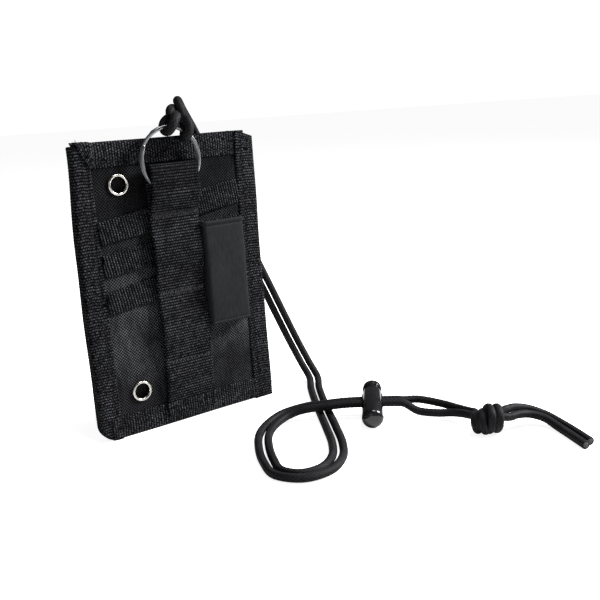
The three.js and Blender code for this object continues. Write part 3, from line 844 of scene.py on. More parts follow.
# The stopper knot's turns as (along the tails, away from the strap side, up) from its centre.
KNOT_TURNS = (
    # two side-by-side turns round the tails
    (
        (5.0, 0.0, 4.6), (5.0, -4.3, 2.4), (4.6, -4.5, -1.6),
        (4.2, -1.2, -4.5), (4.2, 3.2, -3.4), (4.6, 4.6, 1.0),
    ),
    (
        (1.5, 0.2, 4.8), (1.7, -4.5, 2.6), (1.3, -4.8, -1.7),
        (1.0, -1.0, -4.7), (0.8, 3.4, -3.4), (1.2, 4.6, 1.4),
    ),
    # the two lobes that come out of the turns, low down, and go round the neck cords
    (
        (-0.6, 2.8, 1.8), (-1.9, -1.8, 2.5), (-2.6, -4.6, -0.4),
        (-1.3, -3.9, -3.6), (-0.2, 0.2, -4.6), (0.0, 4.2, -1.6),
    ),
    (
        (-2.8, 3.0, 0.4), (-4.5, -0.4, 1.1), (-5.2, -3.0, -1.2),
        (-4.0, -2.0, -3.9), (-2.6, 1.2, -4.1), (-2.2, 3.6, -1.8),
    ),
)

# The strands' way through the knot, in the same directions; strand A's is its mirror image.
KNOT_CORE = ((-2.5, 0.9, 1.0), (3.0, 1.0, 1.6), (6.6, 1.4, 0.9))


def neck_radius(line):
    """The strands are a little fuller, bent open, for the first stretch from the ring."""
    gone = distance_along(line)
    return (CORD_RADIUS + NECK_FULLNESS * (1 - smoothstep(gone, 9.0, 20.0)))[:, None]


def declare_cord(piece, line, far_end, stiffness, with_pieces, step=1):
    """Turns the cord's line into the row frame and nothing more; step is not used."""
    line = row_frame(line)


def add_cords(lock_pieces):
    """The two neck strands, their tails, the hitch on the ring, the stopper knot and the cut ends."""
    necks = {}
    tails = {}
    for strand, side in (("a", -1), ("b", 1)):
        line = catmull_rom(strand_points(CORD_ROUTE, side))
        neck = braided_tube(f"neck_cord_{strand}_braid", line, neck_radius(line), LOOK["cord"])
        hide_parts(f"neck_cord_{strand}")
        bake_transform(neck)
        necks[strand] = (neck, line)
        line = catmull_rom(strand_points(TAIL_ROUTE, side))
        tail = braided_tube(f"cord_tail_{strand}_braid", line, CORD_RADIUS, LOOK["cord"])
        settle(tail, "pouch", "cord", f"cord_tail_{strand}")
        tails[strand] = (tail, line)
    hitch_line = catmull_rom(hitch_points(), spacing=0.35)
    hitch = braided_tube("ring_hitch_wraps", hitch_line, HITCH_RADIUS, LOOK["cord"])
    settle(hitch, "ring_loop", "cord", "ring_hitch")
    knot = add_knot()
    for strand in ("a", "b"):
        declare_cord(*necks[strand], "knot", "limp", [knot, hitch, *lock_pieces], step=2)
        declare_cord(*tails[strand], "bare", "medium", [knot])
    for strand in ("a", "b"):
        add_cut_end(strand, tails[strand][1])


def knot_point(along, away, up):
    """A point of the knot, from its own directions to the making frame."""
    heading = np.array([math.cos(KNOT_HEADING), math.sin(KNOT_HEADING), 0])
    across = np.array([-heading[1], heading[0], 0])
    return np.array(KNOT_CENTRE) + along * heading + away * across + np.array([0, 0, up])


def add_knot():
    """An overhand knot of the two strands: two turns side by side, and lobes that go round the neck cords."""
    turns = []
    for turn in KNOT_TURNS:
        line = catmull_rom([knot_point(*point) for point in turn], closed=True)
        turns.append(braided_tube("stopper_knot_turn", line, KNOT_TURN_RADIUS, LOOK["cord"], sides=20))
    for side in (-1, 1):
        core = strand_points(CORD_ROUTE, side)[-2:]
        core += [knot_point(along, away * side, up) for along, away, up in KNOT_CORE]
        core += strand_points(TAIL_ROUTE, side)[:2]
        line = catmull_rom(core)
        gone = distance_along(line)
        inner = (gone > KNOT_CORE_TRIM) & (gone < gone[-1] - KNOT_CORE_TRIM)
        turns.append(braided_tube("stopper_knot_turn", line[inner], CORD_RADIUS - 0.03, LOOK["cord"]))
    knot = joined("stopper_knot_turns", turns)
    return settle(knot, "pouch", "cord", "stopper_knot")


def add_cut_end(strand, line):
    """The pale fibre core that shows at a tail's cut end."""
    sides = 14
    direction = line[-1] - line[-3]
    direction /= np.linalg.norm(direction)
    sideways = np.cross(direction, (0, 0, 1.0))
    up = np.cross(sideways, direction)
    points = []
    rings = ((1.3, -0.3), (1.15, 0.08), (0.7, 0.2))
    for radius, along in rings:
        for j in range(sides):
            angle = 2 * math.pi * j / sides
            wobble = 1 + 0.08 * math.sin(3 * angle + along)
            offset = sideways * math.cos(angle) + up * math.sin(angle)
            points.append(line[-1] + direction * along + offset * radius * wobble)
    core = new_object(f"cord_tail_{strand}_core", points, capped_tube_faces(len(rings), sides), LOOK["core"])
    settle(core, "pouch", "cord")


# ---- Cord lock ----
def lathe(profile):
    """Points of a turned shape about its own Y axis, from (radius, y) pairs."""
    profile = np.array(profile)
    angle = 2 * math.pi * np.arange(LATHE_SIDES) / LATHE_SIDES
    ring = np.stack([np.cos(angle), np.zeros(LATHE_SIDES), np.sin(angle)], axis=1)
    points = profile[:, None, :1] * ring[None] + np.array([0, 1.0, 0]) * profile[:, None, 1:]
    return points.reshape(-1, 3)


def capped_lathe(profile):
    """A turned shape whose profile starts and ends on the axis."""
    ends = [(0, profile[0][1], 0), (0, profile[-1][1], 0)]
    points = np.vstack([lathe(profile[1:-1]), ends])
    return points, pointed_tube_faces(len(profile) - 2, LATHE_SIDES)


def lock_to_making_frame(points):
    """From the lock's own frame, button end at +Y and cords along X, to the making frame."""
    turn = Matrix.Rotation(LOCK_HEADING, 3, "Z") @ Matrix.Rotation(LOCK_TILT, 3, "X")
    return np.asarray(points, float) @ np.array(turn).T + np.array(LOCK_CENTRE)


def slot_cutter(low, high, reach=12.0):
    """A rounded slot through the lock along X, between two Y values."""
    half = SLOT_HALF_HEIGHT
    outline = []
    for middle, first in ((high - half, -math.pi / 2), (low + half, math.pi / 2)):
        for k in range(17):
            angle = first + math.pi * k / 16
            outline.append((middle + half * math.cos(angle), half * math.sin(angle)))
    points = [(x, y, z) for x in (-reach, reach) for y, z in outline]
    return points, capped_tube_faces(2, len(outline))


def slotted(name, shell, slot, bevel):
    """Cuts the cords' slot through a turned shell and rounds the edges it leaves."""
    body = new_object(name, lock_to_making_frame(shell[0]), shell[1], LOOK["plastic"])
    cutter = new_object(f"{name}_cutter", lock_to_making_frame(slot[0]), slot[1], LOOK["plastic"])
    cut = body.modifiers.new("slot", "BOOLEAN")
    cut.operation = "DIFFERENCE"
    cut.object = cutter
    cut.solver = "EXACT"
    edge = body.modifiers.new("edge", "BEVEL")
    edge.width = bevel * MM
    edge.segments = 3
    edge.limit_method = "ANGLE"
    edge.angle_limit = math.radians(35)
    bpy.context.view_layer.update()
    depsgraph = bpy.context.evaluated_depsgraph_get()
    finished = bpy.data.meshes.new_from_object(body.evaluated_get(depsgraph))
    body.modifiers.clear()
    body.data = finished
    bpy.data.objects.remove(cutter)
    finished.polygons.foreach_set("use_smooth", [True] * len(finished.polygons))
    finished.set_sharp_from_angle(angle=math.radians(40))
    return body


def barrel_profile():
    """The barrel, from its domed tip over the outside to the rim and down the bore."""
    radius, rim = LOCK["radius"], LOCK["rim"]
    profile = []
    for k in range(15):
        angle = math.pi / 2 * k / 14
        profile.append((radius * math.sin(angle) ** 0.8, LOCK["tip"] + LOCK["dome"] * (1 - math.cos(angle))))
    profile += [(radius, rim - 0.5), (radius - 0.1, rim - 0.15), (radius - 0.35, rim)]
    profile += [(LOCK["bore"], rim), (LOCK["bore"], LOCK["bore_end"]), (0, LOCK["bore_end"])]
    return profile


def plunger_profile():
    """The sliding stem and its wider, rounded button."""
    radius, button, foot = PLUNGER["radius"], BUTTON["radius"], BUTTON["foot"]
    profile = [(0, PLUNGER["foot"]), (radius, PLUNGER["foot"]), (radius, foot), (button - 0.25, foot)]
    profile += [(button, foot + 0.3)]
    crown = BUTTON["crown"]
    for k in range(13):
        angle = math.pi / 2 * k / 12
        across = button * math.cos(angle) ** 0.75
        profile.append((across, BUTTON["end"] - crown + crown * math.sin(angle)))
    profile[-1] = (0, BUTTON["end"])
    return profile


def add_lock():
    slot = LOCK["slot"]
    shell_slot = slot_cutter(-slot, slot)
    barrel = slotted("cord_lock_shell", capped_lathe(barrel_profile()), shell_slot, LOCK_BEVELS[0])
    settle(barrel, "cord_lock", "gloss_plastic", "cord_lock_barrel")
    stem_slot = slot_cutter(-slot, slot + PLUNGER["travel"])
    plunger = slotted("cord_lock_button", capped_lathe(plunger_profile()), stem_slot, LOCK_BEVELS[1])
    settle(plunger, "lock_plunger", "gloss_plastic", "cord_lock_plunger")
    return [barrel, plunger]


# ---- Bindings ----
def side_fold():
    """The binding's path round an edge, as (distance in from it, y), from the strap side to the front."""
    edge = TAPE_THICK / 2
    corners = [(TAPE_FACE, -TAPE_MID), (edge, -TAPE_MID), (edge, TAPE_MID), (TAPE_FACE, TAPE_MID)]
    return Track(corners, [TAPE_FOLD_RADIUS, TAPE_FOLD_RADIUS])


def add_binding(name, length, width, place):
    """A binding tape with a line of stitching near the edge that lies on the strap side."""
    seam = -width / 2 + SEAM_IN
    size = (length, width, TAPE_THICK)
    tape = ribbed_strip(f"{name}_tape", *size, place, LOOK["tape"], sway=TAPE_SWAY, seam=seam)
    settle(tape, "pouch", "binding_tape", name)


def corner_inset(height, inward):
    """How far the left edge moves in near its rounded lower corner."""
    radius = CORNER_RADIUS
    down = np.clip(radius - height, 0, radius)
    return (radius - np.sqrt(np.maximum(radius**2 - down**2, 0))) * np.clip(1 - inward / TAPE_FACE, 0, 1)


def add_side_binding(name, sign, low, high):
    """The left one is drawn in and rounded at its lower end; the right one's upper end lies over the top
    binding, with its outer corner cut."""
    track = side_fold()
    width = track.length

    def place(s, w, h):
        inward, y = track.place(w + width / 2, -h)
        z = low + s + 0 * w
        rear = np.where(y < 0, 1.0, 0.0) * smoothstep(inward, 0.2, 1.6)
        if sign > 0:
            y = y - 0.68 * rear * smoothstep(z, 121, 125)
            z = z - CHAMFER * smoothstep(z, 124, high) * np.clip(1 - inward / 10, 0, 1)
        else:
            inset = left_inset(z) * np.clip(1 - inward / TAPE_FACE, 0, 1)
            inward = inward + inset + corner_inset(z, inward)
        sway = 0.18 * np.sin(z / 19 + sign) + 0.12 * np.sin(z / 7.3)
        lip = smoothstep(inward, TAPE_FACE - 3, TAPE_FACE)
        y = y + np.sign(y) * (0.12 * np.sin(z / 11 + 1.3) * lip)
        return np.stack([sign * (WIDTH / 2 - inward + sway * (1 - lip)), y, z], axis=-1)

    add_binding(name, high - low, width, place)


def bottom_lift(x, inward):
    """How far the bottom binding stands forward where it covers the strap's end."""
    beside = 1 - smoothstep(np.abs(x), STRAP_WIDTH / 2 - 0.2, STRAP_WIDTH / 2 + 1.6)
    return 1.5 * beside * smoothstep(inward, 2.2, 6.5)


def add_bottom_binding():
    track = side_fold()
    width = track.length
    left, right = -SIDE_INNER - 4.5, SIDE_INNER + 0.6

    def place(s, w, h):
        inward, y = track.place(w + width / 2, -h)
        x = left + s + 0 * w
        rear = np.where(y < 0, 1.0, 0.0)
        end = 1 - smoothstep(x, left, left + 3.5)
        y = y - rear * (bottom_lift(x, inward) + 0.62 * end)
        inward = inward - rear * 0.8 * end * smoothstep(inward, 6, 11)
        z = inward + 0.12 * np.sin(x / 13) * rear
        return np.stack([x, y, z], axis=-1)

    add_binding("binding_bottom", right - left, width, place)


def add_top_binding(name, faces, outer_sign):
    """A binding over one lip of the pouch's mouth, its ends folded at 45 degrees over the side bindings."""
    outer, inner = faces
    edge = TAPE_THICK / 2
    corners = [(TAPE_FACE, outer), (edge, outer), (edge, inner), (TOP_INNER_LIP, inner)]
    track = Track(corners, [abs(outer - inner) * 0.3] * 2)
    width = track.length
    length = 2 * TOP_TAPE_HALF

    def place(s, w, h):
        along = w + width / 2
        inward, y = track.place(along, h * outer_sign)
        x = s - length / 2
        beyond = np.abs(x) - (SIDE_INNER - 2)
        reach = length / 2 - SIDE_INNER + 2
        share = np.clip(beyond / reach, 0, 1)
        limit = reach - np.clip(inward, 0, TAPE_FACE) * 0.5
        pulled = SIDE_INNER - 2 + share * limit
        over = smoothstep(-x, SIDE_INNER - 2.5, SIDE_INNER + 0.5)
        x = np.where(beyond > 0, np.sign(x) * pulled, x)
        is_outer = (np.sign(y) == outer_sign) & (along < TAPE_FACE + 1.5)
        y = y + outer_sign * 0.66 * over * is_outer
        z = HEIGHT - inward + 0.55 * over * (1 - smoothstep(inward, 1, 4)) - 0.1 * np.cos(x / 9)
        return np.stack([x, y, z + 0 * s], axis=-1)

    add_binding(name, length, width, place)


def add_bindings():
    add_side_binding("binding_left", -1, *SIDE_TAPE_ENDS["left"])
    add_side_binding("binding_right", 1, *SIDE_TAPE_ENDS["right"])
    add_bottom_binding()
    add_top_binding("binding_top_rear", (-TAPE_MID, 0.15), -1)
    add_top_binding("binding_top_front", (TAPE_MID, 1.1), 1)


# ---- Woven panels ----
def left_inset(z):
    """How far the pouch's left edge is drawn in, more towards the top."""
    return 0.9 + 1.9 * smoothstep(z, 85, 134)


def follow_outline(x, z):
    """Draws a layer in with the pouch's outline: its left edge, rounded lower left and cut upper right."""
    near_left = smoothstep(-x, 30, 46.5)
    near_right = smoothstep(x, 37, 46.5)
    inset = left_inset(z) + corner_inset(z, 0.0)
    return x + inset * near_left, z - CHAMFER * near_right * smoothstep(z, 124, 134)


def panel(name, xs, zs, surface, faces_y, material, keep=None):
    """A cloth layer on a grid in X and Z. Cells where keep(x, z) is false are left out; rims are closed."""
    rear, front = faces_y
    gx, gz = np.meshgrid(xs, zs)
    swell = surface(gx, gz)
    px, pz = follow_outline(gx, gz)
    low = np.stack([px, rear + swell, pz], axis=-1).reshape(-1, 3)
    high = np.stack([px, front + swell, pz], axis=-1).reshape(-1, 3)
    rows, columns = gx.shape
    centre_x = (xs[1:] + xs[:-1]) / 2
    centre_z = (zs[1:] + zs[:-1]) / 2
    cx, cz = np.meshgrid(centre_x, centre_z)
    kept = np.ones(cx.shape, bool) if keep is None else keep(cx, cz)
    count = rows * columns
    faces = []

    def cell_at(i, j):
        return 0 <= i < rows - 1 and 0 <= j < columns - 1 and kept[i, j]

    for i in range(rows - 1):
        for j in range(columns - 1):
            if not kept[i, j]:
                continue
            a, b = i * columns + j, i * columns + j + 1
            c, d = b + columns, a + columns
            faces.append((a, b, c, d))
            faces.append((count + d, count + c, count + b, count + a))
            rims = ((a, b, -1, 0), (b, c, 0, 1), (c, d, 1, 0), (d, a, 0, -1))
            for p, q, di, dj in rims:
                if not cell_at(i + di, j + dj):
                    faces.append((q, p, count + p, count + q))
    points = np.vstack([low, high])
    used = np.zeros(len(points), bool)
    used[np.unique(np.concatenate([np.array(f) for f in faces]))] = True
    index = np.cumsum(used) - 1
    faces = [tuple(int(index[v]) for v in f) for f in faces]
    return new_object(name, points[used], faces, material)


def rear_swell(x, z):
    """The rear panel's slight waves: fuller between the bands, drawn in beside the tapes."""
    inside = smoothstep(SIDE_INNER + 3 - np.abs(x), 0, 9) * smoothstep(z, 8, 18) * smoothstep(126 - z, 0, 10)
    return -inside * (0.10 + 0.07 * np.sin(x / 8.5 + z / 21) + 0.05 * np.sin(z / 6.5 + x / 17)) * 0.9


def clear_of_eyelets(x, z):
    clear = np.ones(x.shape, bool)
    for eyelet_z in EYELET["z"]:
        clear &= (x - EYELET["x"]) ** 2 + (z - eyelet_z) ** 2 > EYELET_CUT_OUT**2
    return clear


def outside_window(x, z):
    half, bottom, top, corner = (WINDOW[k] for k in ("half", "bottom", "top", "corner"))
    dx = np.maximum(np.abs(x) - (half - corner), 0)
    dz = np.maximum(np.abs(z - (bottom + top) / 2) - ((top - bottom) / 2 - corner), 0)
    return dx**2 + dz**2 > corner**2


def still(x, z):
    return 0.0 * x


def front_swell(x, z):
    return 0.10 * np.sin(x / 15 + 1) * np.sin(z / 23)


def lining_swell(x, z):
    return 0.06 * np.sin(x / 9) * np.sin(z / 14)


def vinyl_swell(x, z):
    return 0.16 * np.sin(x / 12 + z / 31) * np.cos(z / 17)


def add_panels():
    """The rear cloth, the board behind it, the front cloth, the pocket's divider and the clear window."""
    xs = np.linspace(-PANEL["half"], PANEL["half"], PANEL["columns"])
    zs = np.linspace(PANEL["bottom"], PANEL["top"], PANEL["rows"])
    rear = panel("rear_panel_cloth", xs, zs, rear_swell, REAR_PANEL, LOOK["oxford"], clear_of_eyelets)
    settle(rear, "pouch", "oxford", "rear_panel")
    board = panel("stiffener_board_sheet", xs, zs, still, STIFFENER, LOOK["board"], clear_of_eyelets)
    settle(board, "pouch", "board", "stiffener_board")
    front = panel("front_panel_cloth", xs, zs, front_swell, FRONT_PANEL, LOOK["oxford"], outside_window)
    settle(front, "pouch", "oxford", "front_panel")
    lining = panel("pocket_divider_cloth", xs[::3], zs[::3], lining_swell, DIVIDER, LOOK["lining"])
    settle(lining, "pouch", "lining", "pocket_divider")
    half = WINDOW["half"] + WINDOW["overlap"]
    sheet_x = np.linspace(-half, half, 60)
    sheet_z = np.linspace(WINDOW["bottom"] - WINDOW["overlap"], WINDOW["top"] + WINDOW["overlap"], 80)
    vinyl = panel("id_window_vinyl", sheet_x, sheet_z, vinyl_swell, WINDOW_SHEET, LOOK["vinyl"])
    settle(vinyl, "pouch", "vinyl", "id_window")


# ---- Webbing ----
def add_bands():
    half = SIDE_INNER - 0.3
    slope = math.atan(BAND["slope"])
    length = 2 * half / math.cos(slope)
    for i, place_name in enumerate(("upper", "middle", "lower")):
        middle_z = BAND["top_left"] - i * BAND["pitch"] - BAND["height"] / 2 + half * BAND["slope"]
        lean = 0.35 * (i - 1)
        rise = (0.3, 1.5, 0.8)[i]

        def place(s, w, h, middle_z=middle_z, lean=lean, rise=rise):
            along = s - length / 2
            droop = 0.22 * np.sin(along / 9 + lean * 3)
            x = along * math.cos(slope) - w * math.sin(slope)
            x = np.clip(x, -half, half)
            left = smoothstep(-x, 10, 24)
            upright = w * math.cos(slope) * (1 - 0.09 * left)
            z = middle_z + along * math.sin(slope) + upright + droop + rise * left
            y = BAND_MID_Y - h - 0.10 * np.sin(along / 6 + w / 9)
            return np.stack([x, y, z], axis=-1)

        name = f"slant_band_{place_name}"
        width = BAND["height"] * math.cos(slope)
        band = ribbed_strip(f"{name}_webbing", length, width, BAND["thick"], place, LOOK["webbing"])
        settle(band, "pouch", "webbing", name)


def strap_y(z):
    """Middle of the strap's thickness at a height: tucked in at the bottom, bowed between the sewn rows."""
    y = STRAP_MID_Y + (STRAP_TUCK_Y - STRAP_MID_Y) * (1 - smoothstep(z, 10.8, 17.0))
    for low, high, bow in BOWS:
        inside = (z >= low) & (z <= high)
        y = y - np.where(inside, bow * np.sin(math.pi * (z - low) / (high - low)) ** 2, 0)
    return y


def add_strap():
    low, high = STRAP_ENDS

    def place(s, w, h):
        z = low + s
        lean = 0.25 * np.sin(z / 21)
        y = strap_y(z) - h - 0.12 * np.sin(w / 7 + z / 15)
        for tack in TACK_Z.values():
            y = y + 0.28 * np.exp(-(((z - tack) / 1.1) ** 2))
        return np.stack([w + lean, y, z + 0 * w], axis=-1)

    size = (high - low, STRAP_WIDTH, STRAP_THICK)
    strap = ribbed_strip("carry_strap_webbing", *size, place, LOOK["webbing"], depth=0.4)
    settle(strap, "pouch", "webbing", "carry_strap")


def add_ring_loop():
    """The webbing that runs up from the upper sewn row, over the ring and back down behind it."""
    y = RING["y"]
    r = LOOP_FOLD_RADIUS
    top = LOOP_FOLD_Z + r
    corners = [(-6.35, 102.0), (y - r, 109.5), (y - r, top), (y + r, top), (y + r, 106.4), (-4.75, 103.7)]
    track = Track(corners, [6.0, r * 0.98, r * 0.98, 2.0])

    def place(s, w, h):
        ty, tz = track.place(s, h)
        crush = 0.15 * np.sin(w / 5.5 + s / 9)
        narrow = 1 - 0.02 * smoothstep(tz, 112, 122)
        return np.stack([w * narrow, ty - crush * 0.4, tz], axis=-1)

    def ribs(s):
        # The lower ribs at the fold also get less of the material's painted highlight, so the fold is painted
        # darker: painted shade.
        fold = smoothstep(s, 9.5, 13.0) * (1 - smoothstep(s, 27, 31))
        return 1 - 0.35 * fold

    width = STRAP_WIDTH - 0.4
    size = (track.length, width, LOOP_THICK)
    loop = ribbed_strip("ring_loop_webbing", *size, place, LOOK["webbing"], ribs=ribs)
    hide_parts("ring_loop")
    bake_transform(loop)


# ---- Stitches ----
# Share of a stitch's length from its middle, and share of its full thickness there.
CAPSULE_RINGS = (
    (-0.5, 0.15), (-0.44, 0.6), (-0.25, 0.95), (0.0, 1.0), (0.25, 0.95), (0.44, 0.6), (0.5, 0.15)
)
CAPSULE_SIDES = 6


def capsule(centre, direction, lift, length, width, height):
    """Points of one stitch: a low rounded bar lying on the cloth."""
    direction = direction / np.linalg.norm(direction)
    lift = lift / np.linalg.norm(lift)
    side = np.cross(direction, lift)
    points = []
    for along, size in CAPSULE_RINGS:
        for k in range(CAPSULE_SIDES):
            angle = 2 * math.pi * k / CAPSULE_SIDES
            offset = side * math.cos(angle) * width / 2 + lift * math.sin(angle) * height / 2
            points.append(centre + direction * along * length + offset * size)
    return points


def sew(name, marks, look="thread", *nodes):
    """One mesh of many stitches. A mark is its centre, direction, lift, length, width and height."""
    points = []
    faces = []
    for mark in marks:
        faces += capped_tube_faces(len(CAPSULE_RINGS), CAPSULE_SIDES, len(points))
        points.extend(capsule(*mark))
    settle(new_object(name, points, faces, LOOK[look]), "pouch", "thread", *nodes)


def row_marks(start, end, lift, pitch=STITCH["pitch"], length=STITCH["length"]):
    """Marks along a straight row of stitches."""
    start, end, lift = (np.array(v, float) for v in (start, end, lift))
    direction = (end - start) / np.linalg.norm(end - start)
    side = np.cross(direction, lift)
    count = int(np.linalg.norm(end - start) / pitch)
    marks = []
    for k in range(count):
        centre = start + (end - start) * (k + 0.5) / count
        leaning = direction + side * (STITCH["slant"] + RNG.normal(0, 0.05))
        placed = centre + side * RNG.normal(0, 0.08)
        marks.append((placed, leaning, lift, length, STITCH["width"], STITCH["height"]))
    return marks


def add_binding_stitches():
    rear_y = -TAPE_HALF_DEPTH + 0.22
    front_y = TAPE_HALF_DEPTH - 0.22
    inner = TAPE_FACE - SEAM_IN
    marks = []
    for y, lift in ((rear_y, (0, -1, 0)), (front_y, (0, 1, 0))):
        for sign in (-1, 1):
            x = sign * (WIDTH / 2 - inner)
            marks += row_marks((x, y, 3), (x, y, 121), lift)
        gap = 14.5 if y < 0 else 0.0
        for low, high in ((-SIDE_INNER + 1, -gap), (gap, SIDE_INNER - 1)):
            marks += row_marks((low, y, inner), (high, y, inner), lift)
        reach = SIDE_INNER + 0.5
        marks += row_marks((-reach, y, HEIGHT - inner), (reach, y, HEIGHT - inner), lift)
    sew("binding_stitches", marks)


def add_tacks():
    """Bar tacks: bundles of short threads laid across the strap, the upper one heaped, the others flatter."""
    half, pitch, length, thick, scatter = TACK_THREAD.values()
    for name, rows, count, heap in TACK_ROWS:
        marks = []
        z = TACK_Z[name]
        top = float(strap_y(np.array(z)) - STRAP_THICK / 2)
        for row in range(rows):
            for k in range(count):
                x = -half + 2 * half * (k + 0.5) / count + RNG.normal(0, scatter)
                height = z + (row - (rows - 1) / 2) * pitch + RNG.normal(0, scatter)
                leaning = (0.35 + RNG.normal(0, 0.25), 0.0, 1.0 + RNG.normal(0, 0.15))
                if name == "lower":
                    leaning = (1.0, 0.0, 0.25 + RNG.normal(0, 0.15))
                y = top + 0.06 - heap * 0.3 * abs(RNG.normal(0, 0.5))
                centre = np.array((x, y, height))
                marks.append((centre, np.array(leaning), np.array((0, -1.0, 0)), length, thick, thick))
        sew(f"bartack_{name}_threads", marks, "tack", f"bartack_{name}")


# ---- Elastic pen loop ----
def add_pen_loop():
    """Elastic tape sewn down along its two sides, the left foot turned in under it, with a rolled hem at the
    top and a double line at the bottom."""
    sewn = -4.2 - PEN_THICK / 2
    crown = sewn - PEN_LOOP["tunnel"]
    left, right, foot = (PEN_LOOP[k] for k in ("left", "right", "foot"))
    corners = [(left + foot, sewn), (left + 0.1, sewn), (left + 0.1, crown)]
    corners += [(right - 2.2, crown), (right - 1.4, sewn), (right, sewn)]
    track = Track(corners, [0.5, 1.0, 1.3, 0.6])
    length = PEN_LOOP["top"] - PEN_LOOP["bottom"]
    rows, across = 180, 70
    s, w = np.meshgrid(np.linspace(0, length, rows), np.linspace(0, track.length, across), indexing="ij")
    rim = np.clip(np.minimum(w, track.length - w) / 0.6, 0, 1)
    half = PEN_THICK / 2 * (0.5 + 0.5 * np.sqrt(1 - (1 - rim) ** 2))
    ends = np.clip(np.minimum(s, length - s) / 0.7, 0, 1)
    half = half * (0.45 + 0.55 * np.sqrt(1 - (1 - ends) ** 2))
    from_top = length - s
    hem = 0.42 * np.exp(-(((from_top - 0.9) / 0.75) ** 2)) - 0.30 * np.exp(-(((from_top - 2.5) / 0.35) ** 2))
    foot_line = -0.26 * np.exp(-(((s - 1.6) / 0.28) ** 2)) + 0.14 * np.exp(-(((s - 0.8) / 0.4) ** 2))
    cords = 0.035 * np.cos(2 * math.pi * w / 0.9)

    def place(height):
        x, y = track.place(w, -height)
        slack = 0.35 * np.sin(math.pi * s / length) * smoothstep(np.minimum(w, track.length - w), 3, 8)
        return np.stack([x, y - slack + 0.08 * np.sin(s / 6 + w / 5), PEN_LOOP["bottom"] + s], axis=-1)

    top = place(half + hem + foot_line + cords)
    bottom = place(-half)
    points = np.concatenate([top, bottom[:, ::-1]], axis=1).reshape(-1, 3)
    loop = new_object("pen_loop_elastic", points, strip_faces(rows, across), LOOK["elastic"])
    settle(loop, "pouch", "elastic", "pen_loop")
    y = sewn - PEN_THICK / 2
    x = right - 0.6
    low, high = PEN_LOOP["bottom"] + 1, PEN_LOOP["top"] - 1
    sew("pen_loop_stitches", row_marks((x, y, low), (x, y, high), (0, -1, 0), pitch=2.2, length=1.6))


# ---- Metal ----
def add_eyelets():
    """Rolled brass eyelets, plated: a rounded flange that turns down into the barrel."""
    hole, barrel, flange, head = (EYELET[k] for k in ("hole", "barrel", "flange", "head"))
    face, foot = EYELET_FACES
    profile = [(barrel, foot), (barrel, face), (flange - 0.1, face), (flange, face - 0.15)]
    middle = (hole + flange) / 2
    reach = (flange - hole) / 2
    for k in range(15):
        angle = math.pi * k / 14
        profile.append((middle + reach * math.cos(angle), face - 0.25 - (head - 0.25) * math.sin(angle)))
    profile += [(hole, face + 0.3), (hole, foot)]
    faces = looped_tube_faces(len(profile), LATHE_SIDES)
    for name, z in zip(("upper", "lower"), EYELET["z"]):
        points = lathe(profile) + np.array((EYELET["x"], 0, z))
        eyelet = new_object(f"eyelet_{name}_rolled", points, faces, LOOK["nickel"])
        settle(eyelet, "pouch", "nickel", f"eyelet_{name}")


def add_split_ring():
    """Two close turns of flattened steel wire, with the cross-over and the two chamfered ends."""
    steps = 300
    sides = 20
    t = np.linspace(0, 1, steps)
    angle = RING_START + 2 * math.pi * RING["turns"] * t
    gap = RING["axial"] / 2
    shift = -gap / 2 + gap * smoothstep(t, 0.46, 0.54)
    section = soft_rectangle(sides, RING["wire"], (0.7, 0.8))
    taper = 0.55 + 0.45 * np.clip(np.minimum(t, 1 - t) / 0.008, 0, 1)
    outward = RING["radius"] + section[None, :, 0] * taper[:, None]
    x = outward * np.cos(angle)[:, None]
    z = RING["z"] + outward * np.sin(angle)[:, None]
    y = RING["y"] + shift[:, None] + section[None, :, 1] * taper[:, None]
    points = np.stack([x, y, z], axis=-1).reshape(-1, 3)
    ring = new_object("split_ring_turns", points, capped_tube_faces(steps, sides), LOOK["steel"])
    settle(ring, "split_ring", "ring_steel", "split_ring")


def finish_cad_nodes():
    """Materials of the CAD nodes that stay as they are."""
    looks = {
        "cord_lock_spring": ("spring", "spring_steel"),
        "eyelet_washer_upper": ("nickel", "nickel"),
        "eyelet_washer_lower": ("nickel", "nickel"),
    }
    for node, (look, slot) in looks.items():
        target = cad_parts[node]
        target.data.materials.clear()
        target.data.materials.append(LOOK[look])


# ---- Front side ----
def add_front_details():
    """The window's bound border with its stitches, and the loop patch."""
    add_window_border()
    xs = np.linspace(-PATCH["half"], PATCH["half"], 130)
    zs = np.linspace(PATCH["bottom"], PATCH["top"], 44)

    def fuzz(x, z):
        upright = np.minimum(z - PATCH["bottom"], PATCH["top"] - z)
        edge = np.minimum(PATCH["half"] - np.abs(x), upright)
        return RNG.normal(0, 0.07, x.shape) - 0.5 * (1 - smoothstep(edge, 0.0, 1.4))

    sunk = [y - 0.1 for y in PATCH_FACES]
    patch = panel("patch_field_pile", xs, zs, fuzz, sunk, LOOK["pile"])
    settle(patch, "pouch", "loop_pile", "patch_field")
    inset = PATCH["stitch_inset"]
    right = PATCH["half"] - inset
    low, high = PATCH["bottom"] + inset, PATCH["top"] - inset
    corners = [(-right, sunk[1], low), (right, sunk[1], low), (right, sunk[1], high), (-right, sunk[1], high)]
    marks = []
    for start, end in zip(corners, [*corners[1:], corners[0]]):
        marks += row_marks(start, end, (0, 1, 0), pitch=2.4, length=1.7)
    sew("patch_stitches", marks)


